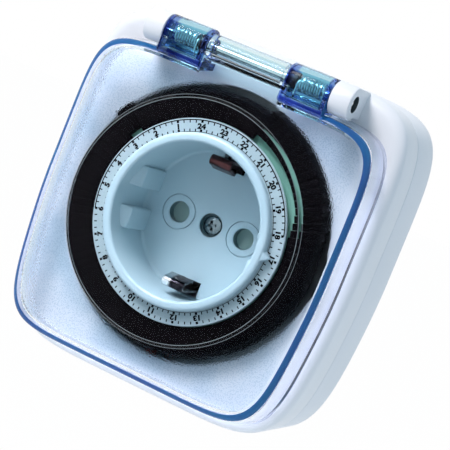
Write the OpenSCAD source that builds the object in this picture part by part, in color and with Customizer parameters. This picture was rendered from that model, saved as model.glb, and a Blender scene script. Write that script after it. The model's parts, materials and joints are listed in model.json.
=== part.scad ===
// Plug-in timer switch with a hinged clear lid over its day dial.
// Every piece is drawn lying on its back: X to the right, Y towards the hinge and
// Z out of the wall, with Z = 0 on the face of the plug. hang() then turns the piece
// so that the plug points along +Y into the wall and the hinge is at the top.

/* [Housing] */
// Width of the housing
housing_w = 86.8; // [86:0.1:96]
// Socket axis to the top of the housing
housing_top = 46.2; // [46:0.1:52]
// Socket axis to the bottom of the housing
housing_bottom = 44.4; // [44.4:0.1:52]
// Housing from its back to its front face
housing_depth = 30; // [30:0.1:34]
// Depth of the front shell, from the front face to the joint
front_shell_h = 13; // [11.8:0.1:13.6]
// Wall of both shells
wall = 2; // [1.6:0.1:2.2]
// Squareness of the housing outline, as the power of a superellipse
housing_power = 6.4; // [6:0.1:8]
// Share by which the outlines narrow towards the bottom
lower_taper = 0.09; // [0:0.01:0.1]
// Radius of the housing's front edge
front_edge_r = 2.8; // [1:0.1:3.2]
// Radius of the housing's back edge
back_edge_r = 2.4; // [1:0.1:3]
// Thread of the four housing screws
screw_d = 3; // [2.5:0.1:3.2]

/* [Plug] */
// Diameter of the plug body
boss_d = 37; // [36:0.1:38]
// Height of the plug body above the housing's back
boss_len = 16; // [15:0.1:18]
// Diameter of the plug pins
pin_d = 4.8; // [4:0.1:4.8]
// Length of the plug pins
pin_len = 19; // [17:0.1:20]
// Distance between the pins, the same on plug and socket
pin_pitch = 19; // [18.6:0.1:19.4]

/* [Socket] */
// Inside diameter of the socket well
well_d = 39; // [38.6:0.1:39.4]
// Depth of the socket well below its rim
well_depth = 18.9; // [17.5:0.1:19]
// Wall of the socket well
well_wall = 1.8; // [1.6:0.1:2]
// Floor of the socket well
well_floor_t = 3; // [2.5:0.1:3.2]
// Diameter of the pin holes
pin_hole_d = 5.5; // [5.2:0.1:5.8]
// Thickness of the child shutter
shutter_t = 0.9; // [0.7:0.1:1]
// Turn that brings the shutter's windows under the pin holes
shutter_turn = 40; // [36:1:44]

/* [Dial] */
// Top of the dial scale above the housing's front face
dial_rise = 5.6; // [5.4:0.1:6]
// Height of the socket rim above the dial scale
rim_rise = 2.6; // [2:0.1:2.6]
// Width of the printed scale
scale_w = 4.1; // [3.6:0.1:4.4]
// Angle at which hour 24 stands, counted from +X
hour_zero_turn = 104.3; // [0:0.1:359]
// Travel of a tappet
tappet_travel = 1.65; // [1.2:0.05:1.7]
// Width of the tappet crown, pushed in
crown_w = 9.4; // [9.2:0.1:9.8]
// Tooth module of the gear ring and its pinion
ring_module = 0.5; // [0.48:0.01:0.5]

/* [Drive] */
// Teeth of the pinion that drives the gear ring
drive_teeth = 12; // [11:1:13]
// Teeth of the two wheels
wheel_teeth = 40; // [38:1:41]
// Teeth of the rotor pinion and the first pinion
pinion_teeth = 10; // [9:1:11]
// Tooth module of the two wheels
train_module = 0.4; // [0.38:0.01:0.4]
// Diameter of the gear axles and of the rotor shaft
axle_d = 1.5; // [1.2:0.1:1.6]
// Diameter of the motor
motor_d = 22; // [20:0.5:22]
// Height of the motor can
motor_h = 12; // [11:0.5:12.5]

/* [Switch] */
// Swing of the cam lever as a tappet passes
lever_swing = 7.5; // [5:0.1:7.6]
// Thickness of the cam lever
lever_t = 2.2; // [1.8:0.1:2.3]
// Thickness of the moving contact
leaf_t = 0.3; // [0.2:0.05:0.4]
// Thickness of the brass strips
strip_t = 0.6; // [0.5:0.05:0.7]

/* [Lid] */
// Width of the lid below its rounded front edge
lid_w = 79.3; // [79:0.1:80]
// Socket axis to the lid's top edge
lid_top = 37; // [36.8:0.1:37.4]
// Socket axis to the lid's bottom edge
lid_bottom = 40.8; // [40.2:0.1:41.4]
// Lid from the housing's front face to its own front
lid_depth = 10.2; // [10.2:0.1:11]
// Wall of the lid
lid_wall = 1.7; // [1.2:0.1:1.7]
// Widening of the skirt towards the housing
skirt_flare = 1; // [0.4:0.1:1.2]
// Squareness of the lid outline
lid_power = 8; // [7:0.1:9]
// Radius of the lid's front edge
lid_edge_r = 2.4; // [1:0.1:3]
// Clear diameter of the raised window
window_d = 60; // [56:0.5:64]
// Height of the raised window
window_rise = 0.7; // [0.4:0.1:1]

/* [Hinge] */
// Hinge axis above the socket axis
hinge_up = 41.7; // [41.7:0.1:42.2]
// Hinge axis in front of the housing's front face
hinge_out = 7.1; // [6.9:0.1:7.4]
// Diameter of the hinge pin
hinge_pin_d = 2.2; // [1.8:0.1:2.4]
// Diameter of the spring barrels
barrel_d = 8.4; // [8:0.1:8.6]
// Diameter of the tube between the barrels
tube_d = 6.8; // [6:0.1:7]
// Half the length of the lid's hinge
hinge_half = 22.9; // [22:0.1:23.5]
// Length of one spring barrel
barrel_len = 11.9; // [11:0.1:12.4]
// Length of one housing ear
ear_len = 5.4; // [4.6:0.1:6]
// Wire of the hinge springs
spring_wire_d = 0.6; // [0.4:0.05:0.65]
// Turns of each hinge spring
spring_turns = 9; // [6:1:9]

/* [Hidden] */

$fn = 96;
eps = 0.01;
run_fit = 0.05;      // radial play of a turning fit
snug = 0.03;         // radial play of a fixed fit
air = 0.3;           // play between pieces that pass each other
outline_points = 112;
corner_crowding = 0.6;

// Heights along Z
back_z = boss_len;
front_z = back_z + housing_depth;
split_z = front_z - front_shell_h;
dial_z = front_z + dial_rise;
rim_z = dial_z + rim_rise;
floor_z = rim_z - well_depth;
floor_under_z = floor_z - well_floor_t;
lid_front_z = front_z + lid_depth;
lid_foot_z = front_z + 0.15;
hinge_z = front_z + hinge_out;
inner_back_z = back_z + wall;
inner_front_z = front_z - wall;

// Shells
half_w = housing_w / 2;
lip_h = 1.2;
lip_play = 0.05;
post_r = screw_d / 2 + 1.4;
screw_r = screw_d / 2;
screw_head_r = screw_r + 1.1;
screw_head_h = 1.8;
screw_seat_z = back_z + 9;
post_top_x = half_w - 9.9;
post_top_y = housing_top - 10.2;
post_low_x = half_w - 9.9;
post_low_y = -(housing_bottom - 10.4);
post_side_x = -(half_w - 5.7);
post_side_y = -12;
posts = [[post_top_x, post_top_y], [-post_top_x, post_top_y],
         [post_low_x, post_low_y], [post_side_x, post_side_y]];

// Plug
boss_r = boss_d / 2;
pin_r = pin_d / 2;
pin_x = pin_pitch / 2;
boss_face_t = 3.5;
boss_hollow_r = boss_r - 2.3;
boss_hollow_x = boss_r - 4.6;
boss_hollow_y = boss_r - 3.6;
groove_w = 5.5;
groove_depth = 2.6;
earth_w = 6;
earth_t = 0.7;
clip_h = 9;
earth_seat = boss_r - 1.6;
clip_seat = well_d / 2 - 2.6;
pin_flange_r = pin_r + 1.3;
pin_flange_t = 1.2;
pin_root_r = pin_r + 0.2;
pin_point = 1.2;
pin_stub_r = 1.4;
pin_stub_h = 1.6;

// Socket
well_r = well_d / 2;
tube_r = well_r + well_wall;
lip_r = tube_r + 0.6;
pin_hole_r = pin_hole_d / 2;
guide_h = well_depth - 4.6;
ring_groove_r = pin_hole_r + 1.75;
guide_inner = well_r - 2.9;
guide_gap = 5.4;
guide_w = 5.6;
shutter_play = 0.15;
base_top_z = floor_under_z - shutter_t - 2 * shutter_play;
base_t = 1.2;
contact_r = pin_r + 0.5;
sleeve_r = contact_r + 1.3;
contact_foot_z = inner_back_z + 2.6;
sleeve_foot_z = contact_foot_z + strip_t;
hub_r = 4.6;
spring_pocket_r = 3.5;
spring_pocket_h = 2.4;
pillar_top_z = base_top_z - base_t - spring_pocket_h + 0.8;
pillar_r = 3.4;
centre_seat_z = floor_z - 1.8;
centre_screw_r = 1.5;
centre_head_r = 2.5;
shutter_r = 14.8;
slot_w = earth_w + 0.8;
slot_in = clip_seat - 2.1;
slot_out = well_r;

// Mechanism
plate_t = 1.5;
plate_top_z = front_z - 10;
plate_under_z = plate_top_z - plate_t;
drum_bore_r = tube_r + run_fit + 0.03;
drum_hub_r = drum_bore_r + 2;
drum_foot_z = plate_top_z + 1.4;
gear_h = 2.2;
disc_top_z = dial_z - 2.9;
disc_t = 2.2;
scale_t = 1;
scale_bore_r = drum_bore_r + 0.12;
scale_r = scale_bore_r + scale_w;
tappet_count = 96;
tappet_pitch = 360 / tappet_count;
tappet_in_r = scale_r + 0.2;
crown_r = tappet_in_r + crown_w;
disc_r = crown_r - 4;
tappet_top_z = dial_z - 1.1;
tappet_foot_z = plate_top_z + 5.2;
tail_in_r = disc_r + air;
tail_t = 1;
opening_r = crown_r - 0.6;
tappet_gap_turn = 0.2;
// First quarter hours of the evening run that stands out, and of the night run
evening_first = 72;
evening_last = 87;
night_first = 10;
night_last = 11;
// Loose tappets stand every 12 quarter hours
loose_first = 4;
loose_step = 12;

// Gear train
backlash = 0.06;
ring_teeth = 2 * round((drum_hub_r + 6.65) / ring_module);
ring_r = ring_teeth * ring_module / 2;
drive_r = drive_teeth * ring_module / 2;
train_reach = (wheel_teeth + pinion_teeth) * train_module / 2;
second_turn = 225;
second_at = (ring_r + drive_r) * [cos(second_turn), sin(second_turn)];
// The motor sits in the lower left corner, and the first gear reaches it from the second
motor_at = [-(half_w - 18.3), -(housing_bottom - 17)];
first_at = meeting(second_at, motor_at, train_reach);
first_turn = turn_of(first_at - second_at);
rotor_turn = turn_of(motor_at - first_at);
axle_r = axle_d / 2;
wheel_t = 0.9;
first_wheel_z = plate_top_z + 0.3;
second_wheel_z = drum_foot_z + gear_h + 0.2;
// A tooth of each gear stands at this angle at rest
ring_phase = 0;
drive_phase = mesh_phase(ring_phase, ring_teeth, drive_teeth, second_turn);
second_phase = 0;
first_phase = mesh_phase(second_phase, wheel_teeth, pinion_teeth, first_turn);
rotor_phase = mesh_phase(0, wheel_teeth, pinion_teeth, rotor_turn);

// Motor
motor_r = motor_d / 2;
can_t = 0.8;
motor_top_z = plate_under_z - 0.2;
can_top_z = motor_top_z - can_t;
can_foot_z = can_top_z - motor_h;
rotor_r = 4.4;
bobbin_in_r = rotor_r + 0.8;
bobbin_t = 0.8;
bobbin_play = 0.4;

// Switch
nose_r = tail_in_r + tail_t + 0.25;
lever_at = [12.5, -(housing_bottom - 6.2)];
lever_pin_r = 1.2;
lever_hub_r = lever_pin_r + 1.2;
lever_z = tappet_foot_z + 0.1;
push_at = [2, -(housing_bottom - 8.2)];
push_r = 1;
leaf_face_y = push_at[1] - push_r - 0.1;
leaf_z = inner_back_z + 6.5;
leaf_h = 5;
leaf_hinge_x = post_low_x - 6.5;
leaf_tip_x = -4;
rivet_x = -2;
rivet_r = 1.6;
rivet_h = 0.6;
lever_reach = lever_at[0] - push_at[0];
leaf_ratio = lever_reach / (leaf_hinge_x - push_at[0]);
leaf_swing = lever_swing * leaf_ratio;
rivet_travel = (leaf_hinge_x - rivet_x) * sin(leaf_swing);
contact_gap = 0.18;  // play left between the closed contacts
fixed_rivet_y = leaf_face_y - leaf_t - rivet_h - rivet_travel - contact_gap;
strip_w = 4;
strip_z = inner_back_z + 0.4;
strap_y = -8;

// Lid
barrel_r = barrel_d / 2;
hinge_tube_r = tube_d / 2;
pin_bore_r = hinge_pin_d / 2 + run_fit;
barrel_in = hinge_half - barrel_len;
barrel_wall = 1.4;
barrel_foot_y = lid_top - 1;
ear_in = hinge_half + 0.2;
ear_r = barrel_r - 0.1;
coil_r = hinge_pin_d / 2 + spring_wire_d / 2 + 0.5;
coil_pitch = spring_wire_d * 1.2;
coil_len = coil_pitch * spring_turns;
coil_out = hinge_half - barrel_wall - spring_wire_d;
spring_leg = 1.4;
bush_r = coil_r + spring_wire_d / 2;
bush_in = barrel_in + 0.1;
bush_out = coil_out - coil_len - spring_wire_d - air;
tube_hollow_half = barrel_in - barrel_wall;
window_slope = 1.8;

function turn_of(v) = atan2(v[1], v[0]);

// Point at the same reach from a and from b, to the right of the way from a to b
function meeting(a, b, reach) =
    let (way = b - a, half = norm(way) / 2)
    (a + b) / 2 + sqrt(reach * reach - half * half) * [-way[1], way[0]] / norm(way);

// Angle at which a tooth of gear b stands, so that it meshes with a tooth of gear a
// at phase_a, where b lies in the direction dir from a
function mesh_phase(phase_a, teeth_a, teeth_b, dir) =
    dir + 180 + 180 / teeth_b - (phase_a - dir) * teeth_a / teeth_b;

// Half a superellipse above the middle and a narrowing one below it, with its points
// closer together at the corners
function barrel_outline(half, top, bottom, power, inset) =
    let (middle = (top - bottom) / 2, half_h = (top + bottom) / 2 - inset)
    [for (i = [0:outline_points - 1])
        let (a = 360 * i / outline_points,
             x = sign(cos(a)) * pow(abs(cos(a)), corner_crowding),
             y = sign(sin(a)) * pow(abs(sin(a)), corner_crowding),
             reach = pow(pow(abs(x), power) + pow(abs(y), power), -1 / power),
             narrow = y < 0 ? 1 - lower_taper * pow(-y * reach, 1.5) : 1)
        [(half - inset) * x * reach * narrow, middle + half_h * y * reach]];

function housing_outline(inset) =
    barrel_outline(half_w, housing_top, housing_bottom, housing_power, inset);

function lid_outline(inset) =
    barrel_outline(lid_w / 2, lid_top, lid_bottom, lid_power, inset);

// Corners of a gear: two at each root and two at each tip
function gear_points(teeth, module_size) =
    let (r = teeth * module_size / 2, root = r - 1.2 * module_size,
         tip = r + 0.9 * module_size, pitch = 360 / teeth,
         play = backlash / r * 28.6)
    [for (i = [0:teeth - 1])
        for (corner = [[root, -0.40], [tip, -0.13], [tip, 0.13], [root, 0.40]])
            let (a = i * pitch + corner[1] * pitch - sign(corner[1]) * play)
            corner[0] * [cos(a), sin(a)]];

// Stand a piece against the wall
module hang() {
    rotate([90, 0, 0]) children();
}

module mirrored_x() {
    for (side = [-1, 1]) scale([side, 1, 1]) children();
}

// Closed skin over rings that have as many points each
module skin(rings) {
    n = len(rings[0]);
    last = len(rings) - 1;
    polyhedron([for (ring = rings) for (p = ring) p], concat(
        [[for (i = [0:n - 1]) i]],
        [for (k = [0:last - 1]) for (i = [0:n - 1])
            [k * n + i, (k + 1) * n + i, (k + 1) * n + (i + 1) % n, k * n + (i + 1) % n]],
        [[for (i = [n - 1:-1:0]) last * n + i]]), convexity = 10);
}

// Body through flat outlines, each given as [z, outline]
module loft(slices) {
    skin([for (s = slices) [for (p = s[1]) [p[0], p[1], s[0]]]]);
}

module gear(teeth, module_size, height, phase) {
    rotate([0, 0, phase]) linear_extrude(height) polygon(gear_points(teeth, module_size));
}

module tube(outer, inner, height) {
    difference() {
        cylinder(r = outer, h = height);
        translate([0, 0, -eps]) cylinder(r = inner, h = height + 2 * eps);
    }
}

function unit(v) = v / norm(v);
function square_to(v, heading) = unit(v - (v * heading) * heading);
function heading_at(path, i) =
    unit(path[min(i + 1, len(path) - 1)] - path[max(i - 1, 0)]);

// Wire along a path, whose first corner points towards start
module wire(path, r, start, sides = 6) {
    skin([for (i = 0, across = square_to(start, heading_at(path, 0)); i < len(path);
               i = i + 1, across = square_to(across, heading_at(path, i)))
        let (over = cross(heading_at(path, i), across))
        [for (j = [0:sides - 1])
            let (b = 360 * j / sides)
            path[i] + r * (cos(b) * across + sin(b) * over)]]);
}

// Points along a coil around Z
function coil_path(radius, pitch, turns, low) =
    let (steps = 14)
    [for (i = [0:steps * turns])
        let (a = 360 * i / steps)
        [radius * cos(a), radius * sin(a), low + pitch * i / steps]];

module slab(x0, x1, y0, y1, z0, z1) {
    translate([x0, y0, z0]) cube([x1 - x0, y1 - y0, z1 - z0]);
}

// Slices of the housing's rounded edge at the height z; facing 1 is its front, -1 its back
function rounded_edge(z, r, facing) =
    [for (a = [0:15:90])
        let (b = facing > 0 ? a : 90 - a)
        [z - facing * r * (1 - sin(b)), housing_outline(r * (1 - cos(b)))]];

module front_housing() {
    color("whitesmoke") difference() {
        union() {
            difference() {
                loft(concat([[split_z, housing_outline(0)]],
                    rounded_edge(front_z, front_edge_r, 1)));
                translate([0, 0, split_z - 1])
                    linear_extrude(inner_front_z - split_z + 1)
                        polygon(housing_outline(wall));
                translate([0, 0, split_z - 1])
                    linear_extrude(lip_h + 1 + lip_play)
                        polygon(housing_outline(wall / 2));
            }
            for (p = posts)
                translate([p[0], p[1], plate_top_z])
                    cylinder(r = post_r, h = inner_front_z - plate_top_z + 0.5);
            mirrored_x() hinge_ear();
        }
        translate([0, 0, inner_front_z - 1]) cylinder(r = opening_r, h = wall + 2);
        for (p = posts)
            translate([p[0], p[1], plate_top_z - 1])
                cylinder(r = screw_r - 0.2, h = 7);
        for (side = [-1, 1])
            translate([side * (ear_in - 1), hinge_up, hinge_z])
                rotate([0, side * 90, 0])
                    cylinder(r = hinge_pin_d / 2 + snug, h = ear_len + 2);
        for (side = [-1, 1])
            translate([side * (ear_in - 1), hinge_up, hinge_z + coil_r])
                rotate([0, side * 90, 0])
                    cylinder(r = spring_wire_d / 2 + 2 * snug, h = spring_leg + 1.5, $fn = 24);
    }
}

// Ear that holds one end of the hinge pin
module hinge_ear() {
    translate([ear_in, hinge_up, hinge_z])
        rotate([0, 90, 0]) cylinder(r = ear_r, h = ear_len);
    slab(ear_in, ear_in + ear_len, lid_top + skirt_flare + 0.5, hinge_up + ear_r,
         front_z - 1, hinge_z);
}

module rear_housing() {
    color("white") union() {
        difference() {
            union() {
                loft(concat(rounded_edge(back_z, back_edge_r, -1),
                    [[split_z, housing_outline(0)]]));
                translate([0, 0, split_z - 1]) linear_extrude(lip_h + 1)
                    polygon(housing_outline(wall / 2 + lip_play));
                plug_boss();
            }
            translate([0, 0, inner_back_z])
                linear_extrude(housing_depth) polygon(housing_outline(wall));
            boss_cuts();
            screw_holes();
        }
        rear_posts();
    }
}

module plug_boss() {
    cylinder(r = boss_r, h = back_z + 1);
}

module boss_cuts() {
    // chamfer of the plug's face
    rotate_extrude()
        polygon([[boss_r - 1, -eps], [boss_r + 1, -eps], [boss_r + 1, 2], [boss_r, 1]]);
    intersection() {
        translate([0, 0, boss_face_t]) cylinder(r = boss_hollow_r, h = boss_len + wall);
        slab(-boss_hollow_x, boss_hollow_x, -boss_hollow_y, boss_hollow_y,
             0, back_z + 2 * wall);
    }
    for (side = [-1, 1]) {
        translate([side * pin_x, 0, -1])
            cylinder(r = pin_root_r + snug, h = boss_face_t + 2);
        slab(min(side * (boss_r - groove_depth), side * (boss_r + 1)),
             max(side * (boss_r - groove_depth), side * (boss_r + 1)),
             -groove_w / 2, groove_w / 2, -1, boss_len - 1);
        slab(-earth_w / 2 - 0.3, earth_w / 2 + 0.3,
             min(side * earth_seat, side * (boss_r + 1)),
             max(side * earth_seat, side * (boss_r + 1)), -1, back_z - 1);
        slab(-earth_w / 2 - 0.3, earth_w / 2 + 0.3,
             min(side * earth_seat, side * (earth_seat + 1)),
             max(side * earth_seat, side * (earth_seat + 1)), back_z - 2, inner_back_z + 1);
        slab(-earth_w / 2 - 0.3, earth_w / 2 + 0.3,
             min(side * boss_hollow_y, side * earth_seat),
             max(side * boss_hollow_y, side * earth_seat), back_z, inner_back_z + 1);
    }
}

module screw_holes() {
    for (p = posts) translate([p[0], p[1], back_z - 1]) {
        cylinder(r = screw_r + 0.2, h = wall + 2);
        cylinder(r = screw_head_r + 0.3, h = screw_seat_z - back_z + 1);
    }
}

// Hollow posts for the housing screws, and the pillar for the centre screw
module rear_posts() {
    for (p = posts)
        translate([p[0], p[1], 0]) difference() {
            translate([0, 0, back_z + 0.5])
                cylinder(r = screw_head_r + 1.3, h = screw_seat_z - back_z + 1);
            translate([0, 0, back_z]) cylinder(r = screw_head_r + 0.3, h = screw_seat_z - back_z);
            cylinder(r = screw_r + 0.2, h = front_z);
        }
    for (p = posts)
        translate([p[0], p[1], screw_seat_z + 1])
            tube(post_r, screw_r + 0.2, plate_under_z - screw_seat_z - 1);
    translate([0, 0, boss_face_t - 0.5]) difference() {
        cylinder(r = pillar_r, h = pillar_top_z - boss_face_t + 0.5);
        translate([0, 0, 8]) cylinder(r = centre_screw_r - 0.2, h = pillar_top_z);
    }
}

module housing_screws() {
    color("silver") for (p = posts)
        translate([p[0], p[1], screw_seat_z]) cross_screw(screw_head_r, screw_head_h,
            screw_r - 0.2, plate_top_z + 5 - screw_seat_z);
}

// Screw with its head below z = 0 and its shank above
module cross_screw(head_r, head_h, shank_r, length) {
    difference() {
        union() {
            translate([0, 0, -head_h]) cylinder(r = head_r, h = head_h);
            cylinder(r = shank_r, h = length);
        }
        for (turn = [0, 90]) rotate([0, 0, turn])
            slab(-head_r * 0.6, head_r * 0.6, -0.35, 0.35, -head_h - 1, -head_h * 0.45);
    }
}

module socket_well() {
    color("aliceblue") difference() {
        union() {
            rotate_extrude() polygon([
                [0, floor_under_z], [tube_r, floor_under_z], [tube_r, dial_z + 0.2],
                [lip_r, dial_z + 0.2], [lip_r, rim_z - 0.5], [lip_r - 0.5, rim_z],
                [well_r + 0.4, rim_z], [well_r, rim_z - 0.4], [well_r, floor_z],
                [0, floor_z]]);
            mirrored_x() guide_ribs();
            linear_extrude(rim_z - 0.5)
                polygon([[lip_r - 0.3, -1.5], [lip_r + 1.5, 0], [lip_r - 0.3, 1.5]]);
        }
        // the pointer stays above the scale
        translate([lip_r, -2, -1]) cube([3, 4, dial_z + 1.3]);
        translate([tube_r + eps, -2, -1]) cube([1, 4, dial_z + 1.2]);
        for (side = [-1, 1]) {
            translate([side * pin_x, 0, floor_under_z - 1])
                cylinder(r = pin_hole_r, h = well_floor_t + 2);
            translate([side * pin_x, 0, floor_z - 0.2])
                tube(ring_groove_r + 0.2, ring_groove_r, 1);
            slab(-slot_w / 2, slot_w / 2, min(side * slot_in, side * (slot_out - 0.4)),
                 max(side * slot_in, side * (slot_out - 0.4)), floor_under_z - 1,
                 floor_z + 1);
        }
        translate([0, 0, centre_seat_z]) cylinder(r = centre_head_r + 0.6, h = 3);
        translate([0, 0, floor_under_z - 1])
            cylinder(r = centre_screw_r + 0.15, h = well_floor_t + 2);
    }
}

// Two ribs at the side of the well, with the guide channel between them
module guide_ribs() {
    for (side = [-1, 1]) intersection() {
        translate([0, 0, floor_z - 0.5]) cylinder(r = well_r + 0.5, h = guide_h + 0.5);
        translate([0, side * (guide_gap + guide_w) / 2, 0])
            rotate([90, 0, 0])
                linear_extrude(guide_w, center = true)
                    polygon([[guide_inner, floor_z - 0.5],
                             [guide_inner, floor_z + guide_h - 2.5],
                             [well_r + 0.5, floor_z + guide_h], [well_r + 0.5, floor_z - 0.5]]);
    }
}

module centre_screw() {
    color("gainsboro") translate([0, 0, centre_seat_z]) rotate([180, 0, 0])
        cross_screw(centre_head_r, 1.3, centre_screw_r - 0.2,
                    centre_seat_z - pillar_top_z + 8);
}

module contact_base() {
    plate_z = base_top_z - base_t;
    color("dimgray") difference() {
        union() {
            translate([0, 0, plate_z]) cylinder(r = tube_r, h = base_t);
            translate([0, 0, base_top_z - eps])
                tube(tube_r, shutter_r + 0.4, floor_under_z - base_top_z + eps);
            translate([0, 0, pillar_top_z]) cylinder(r = hub_r, h = plate_z - pillar_top_z + eps);
            for (side = [-1, 1]) translate([side * pin_x, 0, sleeve_foot_z])
                cylinder(r = sleeve_r, h = plate_z - sleeve_foot_z + eps);
        }
        for (side = [-1, 1]) {
            translate([side * pin_x, 0, sleeve_foot_z - 1]) {
                cylinder(r = contact_r + 0.1, h = plate_z - sleeve_foot_z + 1);
                cylinder(r = pin_hole_r, h = 30);
            }
            slab(-slot_w / 2, slot_w / 2, min(side * slot_in, side * slot_out),
                 max(side * slot_in, side * slot_out), plate_z - 1, floor_z);
        }
        translate([0, 0, base_top_z - spring_pocket_h])
            cylinder(r = spring_pocket_r, h = spring_pocket_h + 1);
        cylinder(r = centre_screw_r, h = front_z);
    }
}

module shutter() {
    z = base_top_z + shutter_play;
    color("honeydew") translate([0, 0, z]) difference() {
        cylinder(r = shutter_r, h = shutter_t);
        translate([0, 0, -1]) cylinder(r = centre_screw_r - 0.2 + run_fit, h = 3);
        for (half_turn = [0, 180]) rotate([0, 0, half_turn + shutter_turn])
            translate([pin_x, 0, -1]) cylinder(r = pin_hole_r + 0.15, h = 3);
    }
}

module shutter_spring() {
    color("silver") translate([0, 0, base_top_z - spring_pocket_h + 0.05])
        wire(coil_path(2.6, 0.62, 3, 0.2), 0.2, [1, 0, 0]);
}

// Slit tube that grips a pin
module contact_tube(x) {
    translate([x, 0, contact_foot_z]) difference() {
        tube(contact_r, pin_r - 0.05, base_top_z - base_t - contact_foot_z - 0.1);
        translate([-0.4, 0, strip_t]) cube([0.8, contact_r + 1, 30]);
    }
}

module live_contact() {
    end_y = leaf_face_y + 0.6;
    color("gold") union() {
        contact_tube(pin_x);
        difference() {
            union() {
                slab(pin_x, leaf_hinge_x + 1, -strip_w / 2, strip_w / 2,
                     contact_foot_z, contact_foot_z + strip_t);
                slab(leaf_hinge_x + 1 - strip_w, leaf_hinge_x + 1, end_y, strip_w / 2,
                     contact_foot_z, contact_foot_z + strip_t);
            }
            translate([pin_x, 0, 0]) cylinder(r = pin_r, h = front_z);
        }
        slab(leaf_hinge_x + 1 - strip_w, leaf_hinge_x + 1, end_y, end_y + strip_t,
             contact_foot_z, leaf_z + leaf_h);
    }
}

module neutral_contact() {
    low = boss_face_t + pin_flange_t;
    color("gold") union() {
        contact_tube(-pin_x);
        difference() {
            strap(-pin_x, low, contact_foot_z);
            translate([-pin_x, 0, 0]) cylinder(r = pin_stub_r + snug, h = low + 2);
            translate([-pin_x, 0, low + 2]) cylinder(r = pin_r, h = front_z);
        }
    }
}

// Strip from a plug pin's stub, out along -Y and up to the height high
module strap(x, low, high) {
    slab(x - strip_w / 2, x + strip_w / 2, strap_y, strip_w / 2, low, low + strip_t);
    slab(x - strip_w / 2, x + strip_w / 2, strap_y, strap_y + strip_t, low, high + strip_t);
    slab(x - strip_w / 2, x + strip_w / 2, strap_y, -pin_r, high, high + strip_t);
}

// Strip from the live plug pin to the fixed contact
module live_strip() {
    low = boss_face_t + pin_flange_t;
    y_end = fixed_rivet_y - rivet_h;
    color("gold") union() {
        difference() {
            slab(pin_x - strip_w / 2, pin_x + strip_w / 2, strap_y, strip_w / 2,
                 low, low + strip_t);
            translate([pin_x, 0, 0]) cylinder(r = pin_stub_r + snug, h = low + 2);
        }
        slab(pin_x - strip_w / 2, pin_x + strip_w / 2, strap_y, strap_y + strip_t,
             low, strip_z + strip_t);
        slab(pin_x - strip_w / 2, pin_x + strip_w / 2, y_end - strip_t, strap_y + eps,
             strip_z, strip_z + strip_t);
        slab(rivet_x - strip_w / 2, pin_x + strip_w / 2, y_end - strip_t,
             y_end - strip_t + strip_w, strip_z, strip_z + strip_t);
        slab(rivet_x - strip_w / 2, rivet_x + strip_w / 2, y_end - strip_t, y_end,
             strip_z, leaf_z + leaf_h);
        translate([rivet_x, y_end - eps, leaf_z + leaf_h / 2])
            rotate([-90, 0, 0]) cylinder(r = rivet_r, h = rivet_h + eps);
    }
}

module plug_pin(x) {
    color("lightgray") translate([x, 0, 0]) {
        cylinder(r = pin_root_r, h = boss_face_t + eps);
        translate([0, 0, -pin_len]) {
            translate([0, 0, pin_point]) cylinder(r = pin_r, h = pin_len - pin_point + eps);
            cylinder(r1 = pin_r - pin_point, r2 = pin_r, h = pin_point);
        }
        translate([0, 0, boss_face_t]) cylinder(r = pin_flange_r, h = pin_flange_t);
        translate([0, 0, boss_face_t + pin_flange_t - eps])
            cylinder(r = pin_stub_r, h = pin_stub_h + eps);
    }
}

module plug_pin_live() {
    plug_pin(pin_x);
}

module plug_pin_neutral() {
    plug_pin(-pin_x);
}

// One bent strip: side contacts of the plug, cross piece and clips in the well
module earth_bracket() {
    cross_z = inner_back_z + 0.3;
    limb = clip_seat + earth_t;
    reach = max(limb, earth_seat + earth_t);
    clip_z = floor_z + clip_h;
    color("silver") union() {
        difference() {
            union() {
                slab(-earth_w / 2, earth_w / 2, -reach, reach, cross_z, cross_z + earth_t);
                translate([0, 0, cross_z]) cylinder(r = pillar_r + 2.4, h = earth_t);
            }
            cylinder(r = pillar_r + 0.3, h = front_z);
        }
        for (side = [-1, 1]) scale([1, side, 1]) {
            slab(-earth_w / 2, earth_w / 2, earth_seat, earth_seat + earth_t, 2,
                 cross_z + earth_t);
            slab(-earth_w / 2, earth_w / 2, clip_seat, limb, cross_z, clip_z);
            rotate([90, 0, 90]) linear_extrude(earth_w, center = true)
                polygon([[limb, clip_z - eps], [limb - 0.9, clip_z + 1.4],
                         [limb - 2.2, clip_z + 1.1], [limb - 3.1, clip_z - 3.2],
                         [limb - 2.2, clip_z - 6.4], [limb - 1.6, clip_z - 6.1],
                         [limb - 2.4, clip_z - 3.2], [limb - 1.7, clip_z + 0.4],
                         [limb - 1.2, clip_z + 0.6], [limb - earth_t, clip_z - eps]]);
        }
    }
}

module mechanism_plate() {
    color("lightgray") difference() {
        union() {
            translate([0, 0, plate_under_z]) linear_extrude(plate_t)
                polygon(housing_outline(wall + 0.25));
            translate([0, 0, plate_top_z - eps])
                cylinder(r = drum_hub_r + 0.6, h = drum_foot_z - plate_top_z - 0.1);
        }
        translate([0, 0, plate_under_z - 1]) {
            cylinder(r = tube_r + snug, h = 10);
            for (p = posts) translate(p) cylinder(r = screw_r + 0.2, h = 10);
            for (p = [first_at, second_at]) translate(p)
                cylinder(r = axle_r + snug, h = 10, $fn = 32);
            translate(motor_at)
                cylinder(r = pinion_teeth * train_module / 2 + 0.7, h = 10);
            translate(lever_at) cylinder(r = lever_pin_r + snug, h = 10);
            // room for the lever's push pin
            translate(push_at) cylinder(r = push_r + 0.5, h = 10);
            translate([push_at[0] - push_r - 0.5, push_at[1] - 2, 0])
                cube([2 * push_r + 1, 2, 10]);
            translate([push_at[0], push_at[1] - 2, 0]) cylinder(r = push_r + 0.5, h = 10);
        }
    }
}

module gear_axles() {
    color("silver") for (p = [first_at, second_at])
        translate([p[0], p[1], plate_under_z + 0.1])
            cylinder(r = axle_r, h = second_wheel_z + wheel_t + 0.1 - plate_under_z, $fn = 32);
}

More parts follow.
